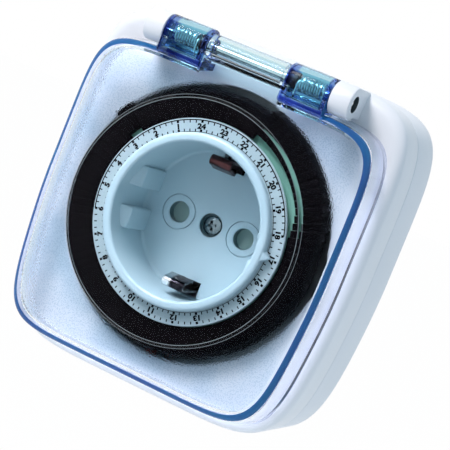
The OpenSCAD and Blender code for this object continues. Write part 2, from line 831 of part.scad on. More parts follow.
module axle_bore(height) {
    translate([0, 0, -1]) cylinder(r = axle_r + run_fit, h = height + 2, $fn = 32);
}

// Wheel driven by the rotor, with the pinion that turns the second wheel
module gear_first() {
    height = second_wheel_z + wheel_t + 0.1 - first_wheel_z;
    color("ivory") translate([first_at[0], first_at[1], first_wheel_z]) difference() {
        union() {
            gear(wheel_teeth, train_module, wheel_t, 0);
            gear(pinion_teeth, train_module, height, first_phase);
        }
        axle_bore(height);
    }
}

// Wheel driven by the first pinion, with the pinion that turns the dial
module gear_second() {
    foot_z = drum_foot_z;
    height = second_wheel_z + wheel_t - foot_z;
    color("ivory") translate([second_at[0], second_at[1], foot_z]) difference() {
        union() {
            translate([0, 0, height - wheel_t])
                gear(wheel_teeth, train_module, wheel_t, second_phase);
            gear(drive_teeth, ring_module, height - wheel_t + eps, drive_phase);
        }
        axle_bore(height);
    }
}

module at_motor(z) {
    translate([motor_at[0], motor_at[1], z]) children();
}

module motor_can() {
    color("silver") at_motor(can_foot_z) difference() {
        cylinder(r = motor_r, h = motor_h);
        translate([0, 0, can_t]) cylinder(r = motor_r - can_t, h = motor_h);
        translate([0, 0, -1]) cylinder(r = axle_r + run_fit, h = 3, $fn = 32);
        // window for the leads
        slab(4, motor_r + 1, 3, 7, 1.6, 4.6);
    }
}

module motor_cover() {
    color("silver") at_motor(can_top_z) difference() {
        cylinder(r = motor_r, h = can_t);
        translate([0, 0, -1]) cylinder(r = axle_r + run_fit, h = 3, $fn = 32);
    }
}

module motor_bobbin() {
    low = can_foot_z + can_t + bobbin_play;
    high = can_top_z - bobbin_play;
    outer = motor_r - can_t - 0.3;
    color("black") at_motor(0) rotate_extrude() polygon([
        [bobbin_in_r, low], [outer, low], [outer, low + bobbin_t],
        [bobbin_in_r + bobbin_t, low + bobbin_t], [bobbin_in_r + bobbin_t, high - bobbin_t],
        [outer, high - bobbin_t], [outer, high], [bobbin_in_r, high]]);
}

module motor_coil() {
    low = can_foot_z + can_t + bobbin_play + bobbin_t;
    high = can_top_z - bobbin_play - bobbin_t;
    color("sienna") at_motor(low + snug)
        tube(motor_r - can_t - 0.9, bobbin_in_r + bobbin_t + snug, high - low - 2 * snug);
}

module motor_rotor() {
    color("dimgray") at_motor(0) {
        translate([0, 0, can_foot_z + 1.6]) cylinder(r = rotor_r, h = motor_h - 2.6);
        translate([0, 0, can_foot_z + 0.1])
            cylinder(r = axle_r, h = first_wheel_z + wheel_t - can_foot_z, $fn = 32);
        translate([0, 0, first_wheel_z - 0.1])
            gear(pinion_teeth, train_module, wheel_t + 0.2, rotor_phase);
    }
}

// Start of a lead, just inside the can's window
function lead_start(turn) =
    [motor_at[0] + (motor_r - can_t - 0.15) * cos(turn),
     motor_at[1] + (motor_r - can_t - 0.15) * sin(turn), can_foot_z + 3.9];

module motor_lead_neutral() {
    color("royalblue") wire([lead_start(34), [-14, -19, 20.5],
        [-10, 2.4 - boss_hollow_y, 19.6],
        [-pin_x, strap_y - 0.5, 14]], 0.5, [0, 0, 1], 8);
}

module motor_lead_live() {
    color("saddlebrown") wire([lead_start(22), [-12, -23.5, 20.5], [0, -29, 20],
        [pin_x, -30, strip_z + strip_t + 0.5]], 0.5, [0, 0, 1], 8);
}

module turned(at, angle) {
    translate([at[0], at[1], 0]) rotate([0, 0, angle]) translate([-at[0], -at[1], 0]) children();
}

// Lever that feels the tappets' tails and pushes the moving contact. It is drawn lifted,
// as by a tappet that stands out, and swings inwards from there.
module cam_lever() {
    nose = [0, -nose_r];
    color("orangered") turned(lever_at, lever_swing) difference() {
        union() {
            translate([lever_at[0], lever_at[1], plate_top_z + 0.3])
                cylinder(r = lever_hub_r, h = lever_z + lever_t - plate_top_z - 0.3);
            translate([0, 0, lever_z]) linear_extrude(lever_t) hull() {
                translate(lever_at) circle(r = 1.4, $fn = 32);
                translate([push_at[0], push_at[1]]) circle(r = 1.3, $fn = 32);
            }
            translate([0, 0, lever_z]) linear_extrude(lever_t)
                polygon([nose + [-0.5, 0], nose + [0.5, 0], push_at + [1.2, 0],
                         push_at + [-1.2, 0]]);
            translate([push_at[0], push_at[1], leaf_z]) cylinder(r = push_r,
                h = lever_z + eps - leaf_z);
        }
        translate([lever_at[0], lever_at[1], plate_top_z])
            cylinder(r = lever_pin_r + run_fit, h = 12);
    }
}

module lever_pin() {
    color("silver") translate([lever_at[0], lever_at[1], plate_under_z + 0.1])
        cylinder(r = lever_pin_r, h = lever_z + lever_t - plate_under_z + 0.2);
}

module lever_spring() {
    radius = lever_hub_r + 0.6;
    color("silver") translate([lever_at[0], lever_at[1], plate_top_z + 0.05])
        wire(coil_path(radius, 0.6, 4, 0.22), 0.22, [1, 0, 0]);
}

// Leaf with its contact rivet, pressed against the fixed contact by the lifted lever
module moving_contact() {
    y = leaf_face_y;
    color("goldenrod") turned([leaf_hinge_x, y - leaf_t / 2], leaf_swing) union() {
        slab(leaf_tip_x, leaf_hinge_x - 0.1, y - leaf_t, y, leaf_z, leaf_z + leaf_h);
        translate([rivet_x, y - leaf_t + eps, leaf_z + leaf_h / 2])
            rotate([90, 0, 0]) cylinder(r = rivet_r, h = rivet_h + eps);
    }
}

// Clamp that holds the root of the leaf against the live contact's strip
module switch_terminal() {
    y = leaf_face_y;
    color("gold") difference() {
        slab(leaf_hinge_x, leaf_hinge_x + 2.5, y - leaf_t - 1.2, y + 0.55,
             inner_back_z, leaf_z + leaf_h);
        translate([leaf_hinge_x + 1.25, y, leaf_z + leaf_h - 2])
            cylinder(r = 0.6, h = 3, $fn = 24);
    }
}

module dial_drum() {
    seat_z = dial_z - scale_t;
    color("darkseagreen") union() {
        rotate_extrude() polygon([
            [drum_bore_r, drum_foot_z], [drum_hub_r, drum_foot_z],
            [drum_hub_r, disc_top_z - disc_t], [disc_r, disc_top_z - disc_t],
            [disc_r, disc_top_z], [drum_hub_r, disc_top_z], [drum_hub_r, seat_z - 0.7],
            [scale_r - 0.3, seat_z - 0.7], [scale_r - 0.3, seat_z], [drum_bore_r, seat_z]]);
        translate([0, 0, drum_foot_z]) difference() {
            gear(ring_teeth, ring_module, gear_h, ring_phase);
            translate([0, 0, -1]) cylinder(r = drum_hub_r - 0.5, h = gear_h + 2);
        }
    }
}

module dial_scale() {
    color("lightsteelblue") translate([0, 0, dial_z - scale_t])
        tube(scale_r, scale_bore_r, scale_t);
}

// Turn of the middle of tappet k, which covers one quarter of an hour
function tappet_turn(k) = hour_zero_turn + (k + 0.5) * tappet_pitch;
function is_out(k) = (k >= evening_first && k <= evening_last)
    || (k >= night_first && k <= night_last);
function is_loose(k) = (k - loose_first) % loose_step == 0;
// The first tappets of the evening run are only partly pulled out
function tappet_shift(k) = !is_out(k) ? 0
    : k >= evening_first ? tappet_travel * min(1, 0.3 + 0.25 * (k - evening_first))
    : tappet_travel;

module tappet(k) {
    turn = tappet_turn(k);
    shift = tappet_shift(k);
    foot = disc_top_z + 0.06;
    tail_out_r = tail_in_r + tail_t;
    color("black") rotate([0, 0, turn]) translate([shift, 0, 0])
        rotate([0, 0, tappet_gap_turn / 2 - tappet_pitch / 2])
            rotate_extrude(angle = tappet_pitch - tappet_gap_turn) polygon([
                [tappet_in_r, foot], [tail_in_r, foot], [tail_in_r, tappet_foot_z],
                [tail_out_r, tappet_foot_z], [tail_out_r, foot - 0.4],
                [crown_r - 1.2, front_z + 0.4], [crown_r, front_z + 0.4],
                [crown_r, front_z + 0.9], [tail_out_r + 0.2, tappet_top_z],
                [tappet_in_r, tappet_top_z]]);
}

module tappets_in() {
    for (k = [0:tappet_count - 1]) if (!is_out(k) && !is_loose(k)) tappet(k);
}

module tappets_out() {
    for (k = [0:tappet_count - 1]) if (is_out(k) && !is_loose(k)) tappet(k);
}

module loose_tappet(n) {
    tappet(loose_first + (n - 1) * loose_step);
}

module lid() {
    color("steelblue", 0.5) difference() {
        union() {
            difference() {
                loft(concat([[lid_foot_z, lid_outline(-skirt_flare)]],
                    [for (a = [0:15:90])
                        [lid_front_z - lid_edge_r * (1 - sin(a)),
                         lid_outline(lid_edge_r * (1 - cos(a)))]]));
                loft([
                    [lid_foot_z - 1, lid_outline(lid_wall - skirt_flare)],
                    [lid_front_z - lid_edge_r, lid_outline(lid_wall)],
                    [lid_front_z - lid_wall - 0.4, lid_outline(lid_wall + 0.3)],
                    [lid_front_z - lid_wall, lid_outline(lid_wall + 1)]]);
                // the skirt is open below the hinge tube
                slab(-barrel_in, barrel_in, lid_top - lid_wall - 2, lid_top + 3,
                     front_z, lid_front_z - lid_wall);
            }
            translate([0, 0, lid_front_z - eps])
                cylinder(r1 = window_d / 2 + window_slope, r2 = window_d / 2,
                         h = window_rise + eps);
            hinge_tongue();
            mirrored_x() spring_barrel();
        }
        mirrored_x() barrel_hollow();
        // hollow of the middle tube
        translate([-tube_hollow_half, hinge_up, hinge_z]) rotate([0, 90, 0])
            cylinder(r = hinge_tube_r - 1.1, h = 2 * tube_hollow_half);
        translate([-hinge_half - 1, hinge_up, hinge_z]) rotate([0, 90, 0])
            cylinder(r = pin_bore_r, h = 2 * hinge_half + 2);
        // a bush runs in the inner end of each barrel, the spring's leg leaves the outer end
        mirrored_x() translate([barrel_in, hinge_up, hinge_z])
            rotate([0, 90, 0]) cylinder(r = bush_r + air, h = barrel_len + 1);
    }
}

// Middle of the hinge: the tube, and the lid's face carried up to it
module hinge_tongue() {
    translate([-barrel_in, hinge_up, hinge_z]) rotate([0, 90, 0])
        cylinder(r = hinge_tube_r, h = 2 * barrel_in);
    slab(-barrel_in, barrel_in, lid_top - lid_edge_r - 1, hinge_up,
         lid_front_z - lid_wall, lid_front_z);
}

module spring_barrel() {
    translate([barrel_in, hinge_up, hinge_z]) rotate([0, 90, 0])
        cylinder(r = barrel_r, h = barrel_len);
    slab(barrel_in, hinge_half, barrel_foot_y, hinge_up,
         hinge_z - barrel_r, hinge_z + barrel_r);
}

module barrel_hollow() {
    inner = barrel_r - barrel_wall;
    x0 = barrel_in + barrel_wall;
    x1 = hinge_half - barrel_wall;
    translate([x0, hinge_up, hinge_z]) rotate([0, 90, 0])
        cylinder(r = inner, h = x1 - x0);
    slab(x0, x1, barrel_foot_y + barrel_wall, hinge_up, hinge_z - inner, hinge_z + inner);
}

module hinge_pin() {
    reach = ear_in + ear_len - 0.5;
    color("silver") translate([-reach, hinge_up, hinge_z]) rotate([0, 90, 0])
        cylinder(r = hinge_pin_d / 2, h = 2 * reach);
}

// Torsion spring, with one leg in the ear and the other end turned out
module hinge_spring() {
    low = spring_wire_d / 2;
    tip = coil_r + low;
    color("white") translate([coil_out, hinge_up, hinge_z]) rotate([0, -90, 0])
        wire(concat([[coil_r, 0, coil_out - ear_in - spring_leg], [coil_r, 0, -0.4]],
                coil_path(coil_r, coil_pitch, spring_turns, low),
                [[tip, 0.8, low + coil_len]]),
            low, [1, 0, 0]);
}

module hinge_spring_left() {
    mirrored_at_left() hinge_spring();
}

module hinge_spring_right() {
    hinge_spring();
}

module mirrored_at_left() {
    scale([-1, 1, 1]) children();
}

module spring_bushes() {
    color("darkred") mirrored_x()
        translate([bush_in, hinge_up, hinge_z]) rotate([0, 90, 0])
            tube(bush_r, pin_bore_r, bush_out - bush_in);
}

hang() front_housing();
hang() rear_housing();
hang() housing_screws();
hang() socket_well();
hang() centre_screw();
hang() contact_base();
hang() shutter();
hang() shutter_spring();
hang() live_contact();
hang() neutral_contact();
hang() live_strip();
hang() plug_pin_live();
hang() plug_pin_neutral();
hang() earth_bracket();
hang() mechanism_plate();
hang() gear_axles();
hang() gear_first();
hang() gear_second();
hang() motor_can();
hang() motor_cover();
hang() motor_bobbin();
hang() motor_coil();
hang() motor_rotor();
hang() motor_lead_live();
hang() motor_lead_neutral();
hang() cam_lever();
hang() lever_pin();
hang() lever_spring();
hang() moving_contact();
hang() switch_terminal();
hang() dial_drum();
hang() dial_scale();
hang() tappets_in();
hang() tappets_out();
hang() loose_tappet(1);  // tappet_01
hang() loose_tappet(2);  // tappet_02
hang() loose_tappet(3);  // tappet_03
hang() loose_tappet(4);  // tappet_04
hang() loose_tappet(5);  // tappet_05
hang() loose_tappet(6);  // tappet_06
hang() loose_tappet(7);  // tappet_07
hang() loose_tappet(8);  // tappet_08
hang() lid();
hang() hinge_pin();
hang() hinge_spring_left();
hang() hinge_spring_right();
hang() spring_bushes();
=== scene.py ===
import json
from math import atan2, copysign, cos, degrees, pi, radians, sin, sqrt

import bmesh
import bpy
from mathutils import Matrix, Vector

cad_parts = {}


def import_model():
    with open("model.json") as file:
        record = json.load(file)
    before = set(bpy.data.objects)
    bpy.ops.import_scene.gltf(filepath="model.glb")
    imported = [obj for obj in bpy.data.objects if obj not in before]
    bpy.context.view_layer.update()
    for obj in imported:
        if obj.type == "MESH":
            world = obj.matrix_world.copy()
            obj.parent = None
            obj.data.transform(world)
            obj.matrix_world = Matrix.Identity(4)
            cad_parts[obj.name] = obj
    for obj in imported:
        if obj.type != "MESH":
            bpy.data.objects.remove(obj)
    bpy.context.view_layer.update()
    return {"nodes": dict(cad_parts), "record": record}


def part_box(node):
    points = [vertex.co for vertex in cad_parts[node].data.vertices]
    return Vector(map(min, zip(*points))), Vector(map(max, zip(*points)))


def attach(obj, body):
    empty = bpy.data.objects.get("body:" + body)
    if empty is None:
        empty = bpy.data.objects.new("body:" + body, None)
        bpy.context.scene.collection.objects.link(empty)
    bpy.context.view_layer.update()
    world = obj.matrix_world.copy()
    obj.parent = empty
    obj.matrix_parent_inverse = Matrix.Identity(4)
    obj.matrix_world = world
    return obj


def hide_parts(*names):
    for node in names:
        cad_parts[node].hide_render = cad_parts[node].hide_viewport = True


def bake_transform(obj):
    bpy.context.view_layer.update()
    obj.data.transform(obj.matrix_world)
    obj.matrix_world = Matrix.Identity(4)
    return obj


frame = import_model()

# Every piece is drawn on the bench, in millimetres: X to the right, Y up to the hinge,
# Z out of the wall. hang() turns it into the frame.
benchToFrame = Matrix(((0.001, 0, 0, 0), (0, 0, -0.001, 0), (0, 0.001, 0, 0), (0, 0, 0, 1)))


def benchBox(node):
    low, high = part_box(node)
    return Vector((low.x, low.z, -high.y)) * 1000, Vector((high.x, high.z, -low.y)) * 1000


frontLow, frontHigh = benchBox("front_housing")
wellLow, wellHigh = benchBox("socket_well")
scaleHigh = benchBox("dial_scale")[1]
lidLow, lidHigh = benchBox("lid")
pinLow, pinHigh = benchBox("hinge_pin")
screwLow, screwHigh = benchBox("centre_screw")
plugLow, plugHigh = benchBox("plug_pin_live")

heights = {
    "split": frontLow.z, "front": lidLow.z - 0.15, "dial": scaleHigh.z, "rim": wellHigh.z,
    "floor": wellHigh.z - 18.9, "floorUnder": wellLow.z, "back": 16.0,
    "hinge": (pinLow.z + pinHigh.z) / 2,
}
hingeUp = (pinLow.y + pinHigh.y) / 2
pinX = (plugLow.x + plugHigh.x) / 2
outlinePoints = 224
cornerCrowding = 0.6  # under 1 draws the outline's points towards its corners

housing = {
    "half": frontHigh.x, "top": frontHigh.y, "bottom": -frontLow.y, "power": 6.4, "taper": 0.09,
    "wall": 2.0, "frontEdge": 2.8, "backEdge": 2.4, "openingR": 35.2, "grooveDeep": 0.22,
}
lid = {
    "half": 39.65, "top": 37.0, "bottom": 40.8, "power": 8.0, "taper": 0.09,
    "wall": 1.7, "flare": 1.0, "edge": 2.4, "foot": heights["front"] + 0.15,
    "front": heights["front"] + 10.2, "windowR": 30.0, "windowFootR": 31.0,
    "windowRise": lidHigh.z - heights["front"] - 10.2, "rimTurns": (19, 65), "rimDeep": 1.6,
}
hinge = {
    "barrelR": 4.2, "tubeR": 3.4, "tubeBoreR": 2.3, "innerX": 11.0, "outerX": 22.9,
    "footY": 36.0, "barrelWall": 1.4, "pinR": 1.1, "bushR": 2.2, "earX": 23.1,
    "earLength": 5.4, "earR": 4.1, "earFootY": 38.5, "earBoreR": 2.1, "earBoreDeep": 2.4,
}


# Meshes. What these make is on the bench, and hang() names it.

def outline(shape, inset=0.0):
    middle = (shape["top"] - shape["bottom"]) / 2
    halfHeight = (shape["top"] + shape["bottom"]) / 2 - inset
    power, ring = shape["power"], []
    for i in range(outlinePoints):
        a = 2 * pi * i / outlinePoints
        x, y = [copysign(abs(part) ** cornerCrowding, part) for part in (cos(a), sin(a))]
        reach = (abs(x) ** power + abs(y) ** power) ** (-1 / power)
        narrow = 1 - shape["taper"] * (-y * reach) ** 1.5 if y < 0 else 1
        ring.append(((shape["half"] - inset) * x * reach * narrow, middle + halfHeight * y * reach))
    return ring


def ringsAt(shape, levels):  # the outline at each (inset, z)
    return [[Vector((x, y, z)) for x, y in outline(shape, inset)] for inset, z in levels]


def circlesIn(shape, levels):  # a circle at each (radius, z), point for point with the outline
    return [[Vector((x, y, 0)).normalized() * r + Vector((0, 0, z)) for x, y in outline(shape)]
            for r, z in levels]


def shellEdge(shape, z, r, facing, steps=8):  # rings round a rounded edge, from the wall inwards
    turns = [pi / 2 * k / steps for k in range(steps + 1)]
    return ringsAt(shape, [(r * (1 - cos(a)), z - facing * r * (1 - sin(a))) for a in turns])


def arc(centre, r, start, end, steps):
    turns = [radians(start + (end - start) * k / steps) for k in range(steps + 1)]
    return [(centre[0] + r * cos(a), centre[1] + r * sin(a)) for a in turns]


def newObject(mesh, name="piece"):
    obj = bpy.data.objects.new(name, mesh)
    bpy.context.collection.objects.link(obj)
    return obj


def tidied(obj):  # doubles merged, faces outwards
    work = bmesh.new()
    work.from_mesh(obj.data)
    bmesh.ops.remove_doubles(work, verts=work.verts, dist=1e-5)
    bmesh.ops.dissolve_degenerate(work, edges=work.edges, dist=1e-6)
    bmesh.ops.recalc_face_normals(work, faces=work.faces)
    work.to_mesh(obj.data)
    work.free()
    return obj


def fromRings(rings, loop=False):  # skin over rings of points, capped at its ends or closed in a loop
    n, last = len(rings[0]), len(rings) if loop else len(rings) - 1
    faces = []
    for k in range(last):
        a, b = k * n, (k + 1) % len(rings) * n
        faces += [(a + i, a + (i + 1) % n, b + (i + 1) % n, b + i) for i in range(n)]
    if not loop:
        faces += [tuple(reversed(range(n))), tuple(range(last * n, last * n + n))]
    mesh = bpy.data.meshes.new("piece")
    mesh.from_pydata([p for ring in rings for p in ring], [], faces)
    return tidied(newObject(mesh))


def lathe(profile, count=96, at=(0, 0), loop=False):  # profile of (radius, z)
    turns = [2 * pi * i / count for i in range(count)]
    return fromRings([[Vector((at[0] + r * cos(a), at[1] + r * sin(a), z)) for a in turns]
                      for r, z in profile], loop)


def rod(r, low, high, at=(0, 0), count=64):
    return lathe([(r, low), (r, high)], count, at)


def prism(points, low, high):  # flat outline pulled up from low to high
    return fromRings([[Vector((x, y, z)) for x, y in points] for z in (low, high)])


def block(x0, x1, y0, y1, z0, z1):
    return prism([(x0, y0), (x1, y0), (x1, y1), (x0, y1)], z0, z1)


def sideBlock(side, half, near, far, z0, z1):  # block across X, from near to far above or below
    return block(-half, half, *sorted((side * near, side * far)), z0, z1)


def alongX(obj):  # what was drawn in (Y, Z) and pulled up along Z now lies along X
    obj.data.transform(Matrix(((0, 0, 1, 0), (1, 0, 0, 0), (0, 1, 0, 0), (0, 0, 0, 1))))
    return obj


def ontoHinge(obj, turn=pi / 2):  # what stood on the Z axis now lies on the hinge's axis
    place = Matrix.Translation((0, hingeUp, heights["hinge"]))
    obj.data.transform(place @ Matrix.Rotation(turn, 4, "Y"))
    return obj


def hingeRod(r, x0, x1, count=64):
    return ontoHinge(rod(r, *sorted((x0, x1)), count=count))


def pair(make):  # a right one and its mirror image
    left = make()
    left.data.transform(Matrix.Scale(-1, 4, (1, 0, 0)))
    return [make(), tidied(left)]


def meshOf(obj):  # the mesh that its modifiers or its curve make
    bpy.context.view_layer.update()
    graph = bpy.context.evaluated_depsgraph_get()
    return bpy.data.meshes.new_from_object(obj.evaluated_get(graph), depsgraph=graph)


def settle(obj):  # modifiers become mesh
    mesh = meshOf(obj)
    obj.modifiers.clear()
    obj.data = mesh
    return obj


def join(obj, tools, operation="UNION"):
    for tool in tools:
        step = obj.modifiers.new(operation.lower(), "BOOLEAN")
        step.operation, step.solver, step.object = operation, "MANIFOLD", tool
        settle(obj)
        bpy.data.objects.remove(tool)
    return obj


def carve(obj, tools):
    return join(obj, tools, "DIFFERENCE")


def rounded(obj, width, segments=3, angle=35):
    step = obj.modifiers.new("rounded", "BEVEL")
    step.width, step.segments, step.limit_method = width, segments, "ANGLE"
    step.angle_limit = radians(angle)
    return settle(obj)


def together(objs):  # separate solids in one piece
    work = bmesh.new()
    for obj in objs:
        work.from_mesh(obj.data)
        bpy.data.objects.remove(obj)
    mesh = bpy.data.meshes.new("piece")
    work.to_mesh(mesh)
    work.free()
    return newObject(mesh)


def hang(obj, name, material, slotName, body, *nodes, smooth=32):  # without a body the piece is left unattached
    obj.name = obj.data.name = name
    obj.data.transform(benchToFrame)
    obj.data.shade_smooth()
    obj.data.set_sharp_from_angle(angle=radians(smooth))
    obj.data.materials.clear()
    obj.data.materials.append(material)
    if body:
        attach(obj, body)
    if nodes:
        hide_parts(*nodes)
    return obj


def coatFaces(obj, material, chosen):  # a second material on the chosen faces
    obj.data.materials.append(material)
    for face, isChosen in zip(obj.data.polygons, chosen):
        face.material_index = int(isChosen)


# Node trees. A Signal is a value on its way through a tree, and sums on it add Math nodes.

def sums(operation, turned=False):
    return lambda a, b: calc(operation, b, a) if turned else calc(operation, a, b)


class Signal:
    def __init__(self, tree, socket):
        self.tree, self.socket = tree, socket

    def __abs__(self):
        return calc("ABSOLUTE", self)

    __add__, __mul__, __mod__ = sums("ADD"), sums("MULTIPLY"), sums("MODULO")
    __sub__, __rsub__ = sums("SUBTRACT"), sums("SUBTRACT", True)
    __truediv__, __rtruediv__ = sums("DIVIDE"), sums("DIVIDE", True)
    __gt__, __lt__ = sums("GREATER_THAN"), sums("LESS_THAN")


def fill(node, inputs):  # links and values for its inputs
    for key, value in inputs.items():
        if isinstance(value, Signal):
            value.tree.links.new(value.socket, node.inputs[key])
        else:
            node.inputs[key].default_value = value


def addNode(tree, kind, inputs=None, **settings):
    node = tree.nodes.new(kind)
    for key, value in settings.items():
        setattr(node, key, value)
    fill(node, inputs or {})
    return node


def take(tree, kind, inputs=None, output=0, **settings):  # one output of a new node
    return Signal(tree, addNode(tree, kind, inputs, **settings).outputs[output])


def calc(operation, a, b=0.0, clamp=False):
    tree = (a if isinstance(a, Signal) else b).tree
    return take(tree, "ShaderNodeMath", {0: a, 1: b}, operation=operation, use_clamp=clamp)


def ramp(value, low, high, toLow=0.0, toHigh=1.0):
    return take(value.tree, "ShaderNodeMapRange", {
        "Value": value, "From Min": low, "From Max": high, "To Min": toLow, "To Max": toHigh,
    }, "Result")


def blend(amount, a, b, kind="MIX"):
    return take(amount.tree, "ShaderNodeMix", {0: amount, 6: a, 7: b}, 2, data_type="RGBA", blend_type=kind)


def place(tree):
    return take(tree, "ShaderNodeTexCoord", output="Object")


def split(vector):
    node = addNode(vector.tree, "ShaderNodeSeparateXYZ", {0: vector})
    return [Signal(vector.tree, socket) for socket in node.outputs]


def noise(tree, scale, detail, at=None):
    return take(tree, "ShaderNodeTexNoise", {"Vector": at or place(tree), "Scale": scale, "Detail": detail})


def bump(height, strength, distance):
    return take(height.tree, "ShaderNodeBump", {"Height": height, "Strength": strength, "Distance": distance})


def newTree(name, inputs, outputs, kind="ShaderNodeTree", outputKind="Float"):
    tree = bpy.data.node_groups.new(name, kind)  # inputs give each one's value, or its kind
    for label, value in inputs.items():
        kindOf = {float: "Float", int: "Int", tuple: "Vector", str: value}[type(value)]
        socket = tree.interface.new_socket(label, in_out="INPUT", socket_type="NodeSocket" + kindOf)
        if kindOf != value:
            socket.default_value = value
    for label in outputs:
        tree.interface.new_socket(label, in_out="OUTPUT", socket_type="NodeSocket" + outputKind)
    source = tree.nodes.new("NodeGroupInput")
    given = {label: Signal(tree, source.outputs[label]) for label in inputs}
    return tree, given, tree.nodes.new("NodeGroupOutput")


def roughnessOf(given, value):
    spread = (value - 0.5) * given["Roughness Spread"]
    return calc("ADD", given["Base Roughness"], spread, clamp=True)


def mouldingGroup():  # cloudy shade and fine skin of moulded plastic
    group, given, out = newTree("moulding", {
        "Cloud Size": 0.03, "Grain Size": 0.0004, "Base Roughness": 0.4, "Roughness Spread": 0.1,
    }, ["Cloud", "Grain", "Roughness"])
    cloud = noise(group, 1.0 / given["Cloud Size"], 3.0)
    grain = noise(group, 1.0 / given["Grain Size"], 2.0)
    fill(out, {"Cloud": cloud, "Grain": grain, "Roughness": roughnessOf(given, cloud)})


def edgeWearGroup():  # where an outer edge is rubbed
    group, given, out = newTree("edgeWear", {"Width": 0.52, "Patch Size": 0.004, "Amount": 0.5}, ["Mask"])
    patches = noise(group, 1.0 / given["Patch Size"], 3.0)
    edge = ramp(take(group, "ShaderNodeNewGeometry", output="Pointiness"), given["Width"], 0.6)
    worn = edge * ramp(patches, 0.4, 0.65)
    fill(out, {"Mask": calc("MULTIPLY", worn, given["Amount"], clamp=True)})


def brushedGroup():  # fine lines and stains of metal
    group, given, out = newTree("brushed", {
        "Line Size": 0.0003, "Stretch": (1.0, 0.05, 1.0), "Base Roughness": 0.3, "Roughness Spread": 0.2,
    }, ["Lines", "Stain", "Roughness"])
    pulled = take(group, "ShaderNodeVectorMath", {0: place(group), 1: given["Stretch"]},
                  operation="MULTIPLY")
    lines = noise(group, 1.0 / given["Line Size"], 2.0, pulled)
    fill(out, {"Lines": lines, "Stain": noise(group, 180.0, 4.0), "Roughness": roughnessOf(given, lines)})


# near gives the reach over which painted shade fades out from the dark ring
pebbles = {"size": 0.00036, "half": 0.037, "fade": 0.002, "windowFade": 0.0006, "topShift": 0.0007,
           "near": (0.034, 0.046), "behindFront": 0.3}


def pebbleGroup():  # pebbles of the lid's face outside its window
    group, given, out = newTree("pebble", {
        "Pebble Size": pebbles["size"], "Clear Radius": 0.032, "Front": 0.056, "Half": pebbles["half"],
        "Fade": pebbles["fade"],
    }, ["Height", "Mask", "Patch", "Near", "Speckle"])
    x, y, z = split(place(group))
    reach = calc("SQRT", x * x + z * z)
    outside = ramp(reach - given["Clear Radius"], 0.0, pebbles["windowFade"])
    up = abs(z - (lid["top"] - lid["bottom"]) / 2000)
    furthest = calc("MAXIMUM", abs(x), up + pebbles["topShift"])
    inset = (given["Half"] - furthest) / given["Fade"]
    normal = take(group, "ShaderNodeNewGeometry", output="True Normal")
    turned = take(group, "ShaderNodeVectorTransform", {0: normal}, vector_type="NORMAL",
                  convert_from="WORLD", convert_to="OBJECT")
    facing = abs(split(turned)[1]) > 0.995
    mask = outside * (y < given["Front"] * -1.0) * (facing * ramp(inset, 0.0, 1.0))
    small = noise(group, 1.0 / given["Pebble Size"], 0.5)
    fill(out, {
        "Height": (small - 0.5) * mask, "Mask": mask, "Patch": noise(group, 60.0, 2.0),
        # painted shade on the pebbled face near the dark ring
        "Near": mask * ramp(reach, *pebbles["near"], 1.0, 0.0),
        "Speckle": mask * ramp(small, 0.5, 0.38, 0.0, 0.8),
    })


def blockBorderGroup():  # where one looks into the thick walls of the hinge blocks
    group, given, out = newTree("blockBorder", {
        "Inner End": hinge["innerX"] / 1000, "Outer End": hinge["outerX"] / 1000,
        "Foot": hinge["footY"] / 1000, "Wall": 0.0013,
    }, ["Border", "Block"])
    x, y, z = split(place(group))
    ends = calc("MINIMUM", abs(x) - given["Inner End"], given["Outer End"] - abs(x))
    nearest = calc("MINIMUM", ends, z - given["Foot"])
    inside = nearest > -0.0001
    edge = inside * ramp(nearest / given["Wall"], 0.75, 1.05, 1.0, 0.0)
    fill(out, {"Border": edge, "Block": inside})


for makeGroup in (mouldingGroup, edgeWearGroup, brushedGroup, pebbleGroup, blockBorderGroup):
    makeGroup()


def newMaterial(name):
    material = bpy.data.materials.new(name)
    material.use_nodes = True
    tree = material.node_tree
    return material, tree, tree.nodes["Principled BSDF"]


def useGroup(tree, name, **values):
    node = addNode(tree, "ShaderNodeGroup", node_tree=bpy.data.node_groups[name])
    fill(node, {key.replace("_", " "): value for key, value in values.items()})
    return {socket.name: Signal(tree, socket) for socket in node.outputs}


def mixShaders(tree, amount, first, second, target):
    mixed = take(tree, "ShaderNodeMixShader", {0: amount, 1: first, 2: second})
    fill(tree.nodes[target], {"Surface": mixed})


def rgb(code):  # colour as seen on a screen, turned linear
    parts = [int(code[i:i + 2], 16) / 255 for i in (1, 3, 5)]
    return (*(c / 12.92 if c <= 0.04045 else ((c + 0.055) / 1.055) ** 2.4 for c in parts), 1.0)


def lighter(code, gain, lift=0.0):
    return (*(min(1.0, c * gain + lift) for c in rgb(code)[:3]), 1.0)


def clouded(skin, colour, shade, low=0.35, high=0.65):
    return blend(ramp(skin["Cloud"], low, high), rgb(colour), rgb(shade))


def plastic(name, colour, shade, roughness=0.38, grainBump=0.06, wear=0.15, cloud=0.03, gloss=0.5):
    material, tree, shader = newMaterial(name)
    skin = useGroup(tree, "moulding", Base_Roughness=roughness, Roughness_Spread=0.14, Cloud_Size=cloud)
    worn = useGroup(tree, "edgeWear", Amount=wear)["Mask"]
    fill(shader, {
        "Base Color": blend(worn, clouded(skin, colour, shade), lighter(colour, 1.25, 0.03)),
        "Roughness": skin["Roughness"], "Normal": bump(skin["Grain"], grainBump, 0.0002),
        "IOR": 1.5, "Specular IOR Level": gloss,
    })
    return material


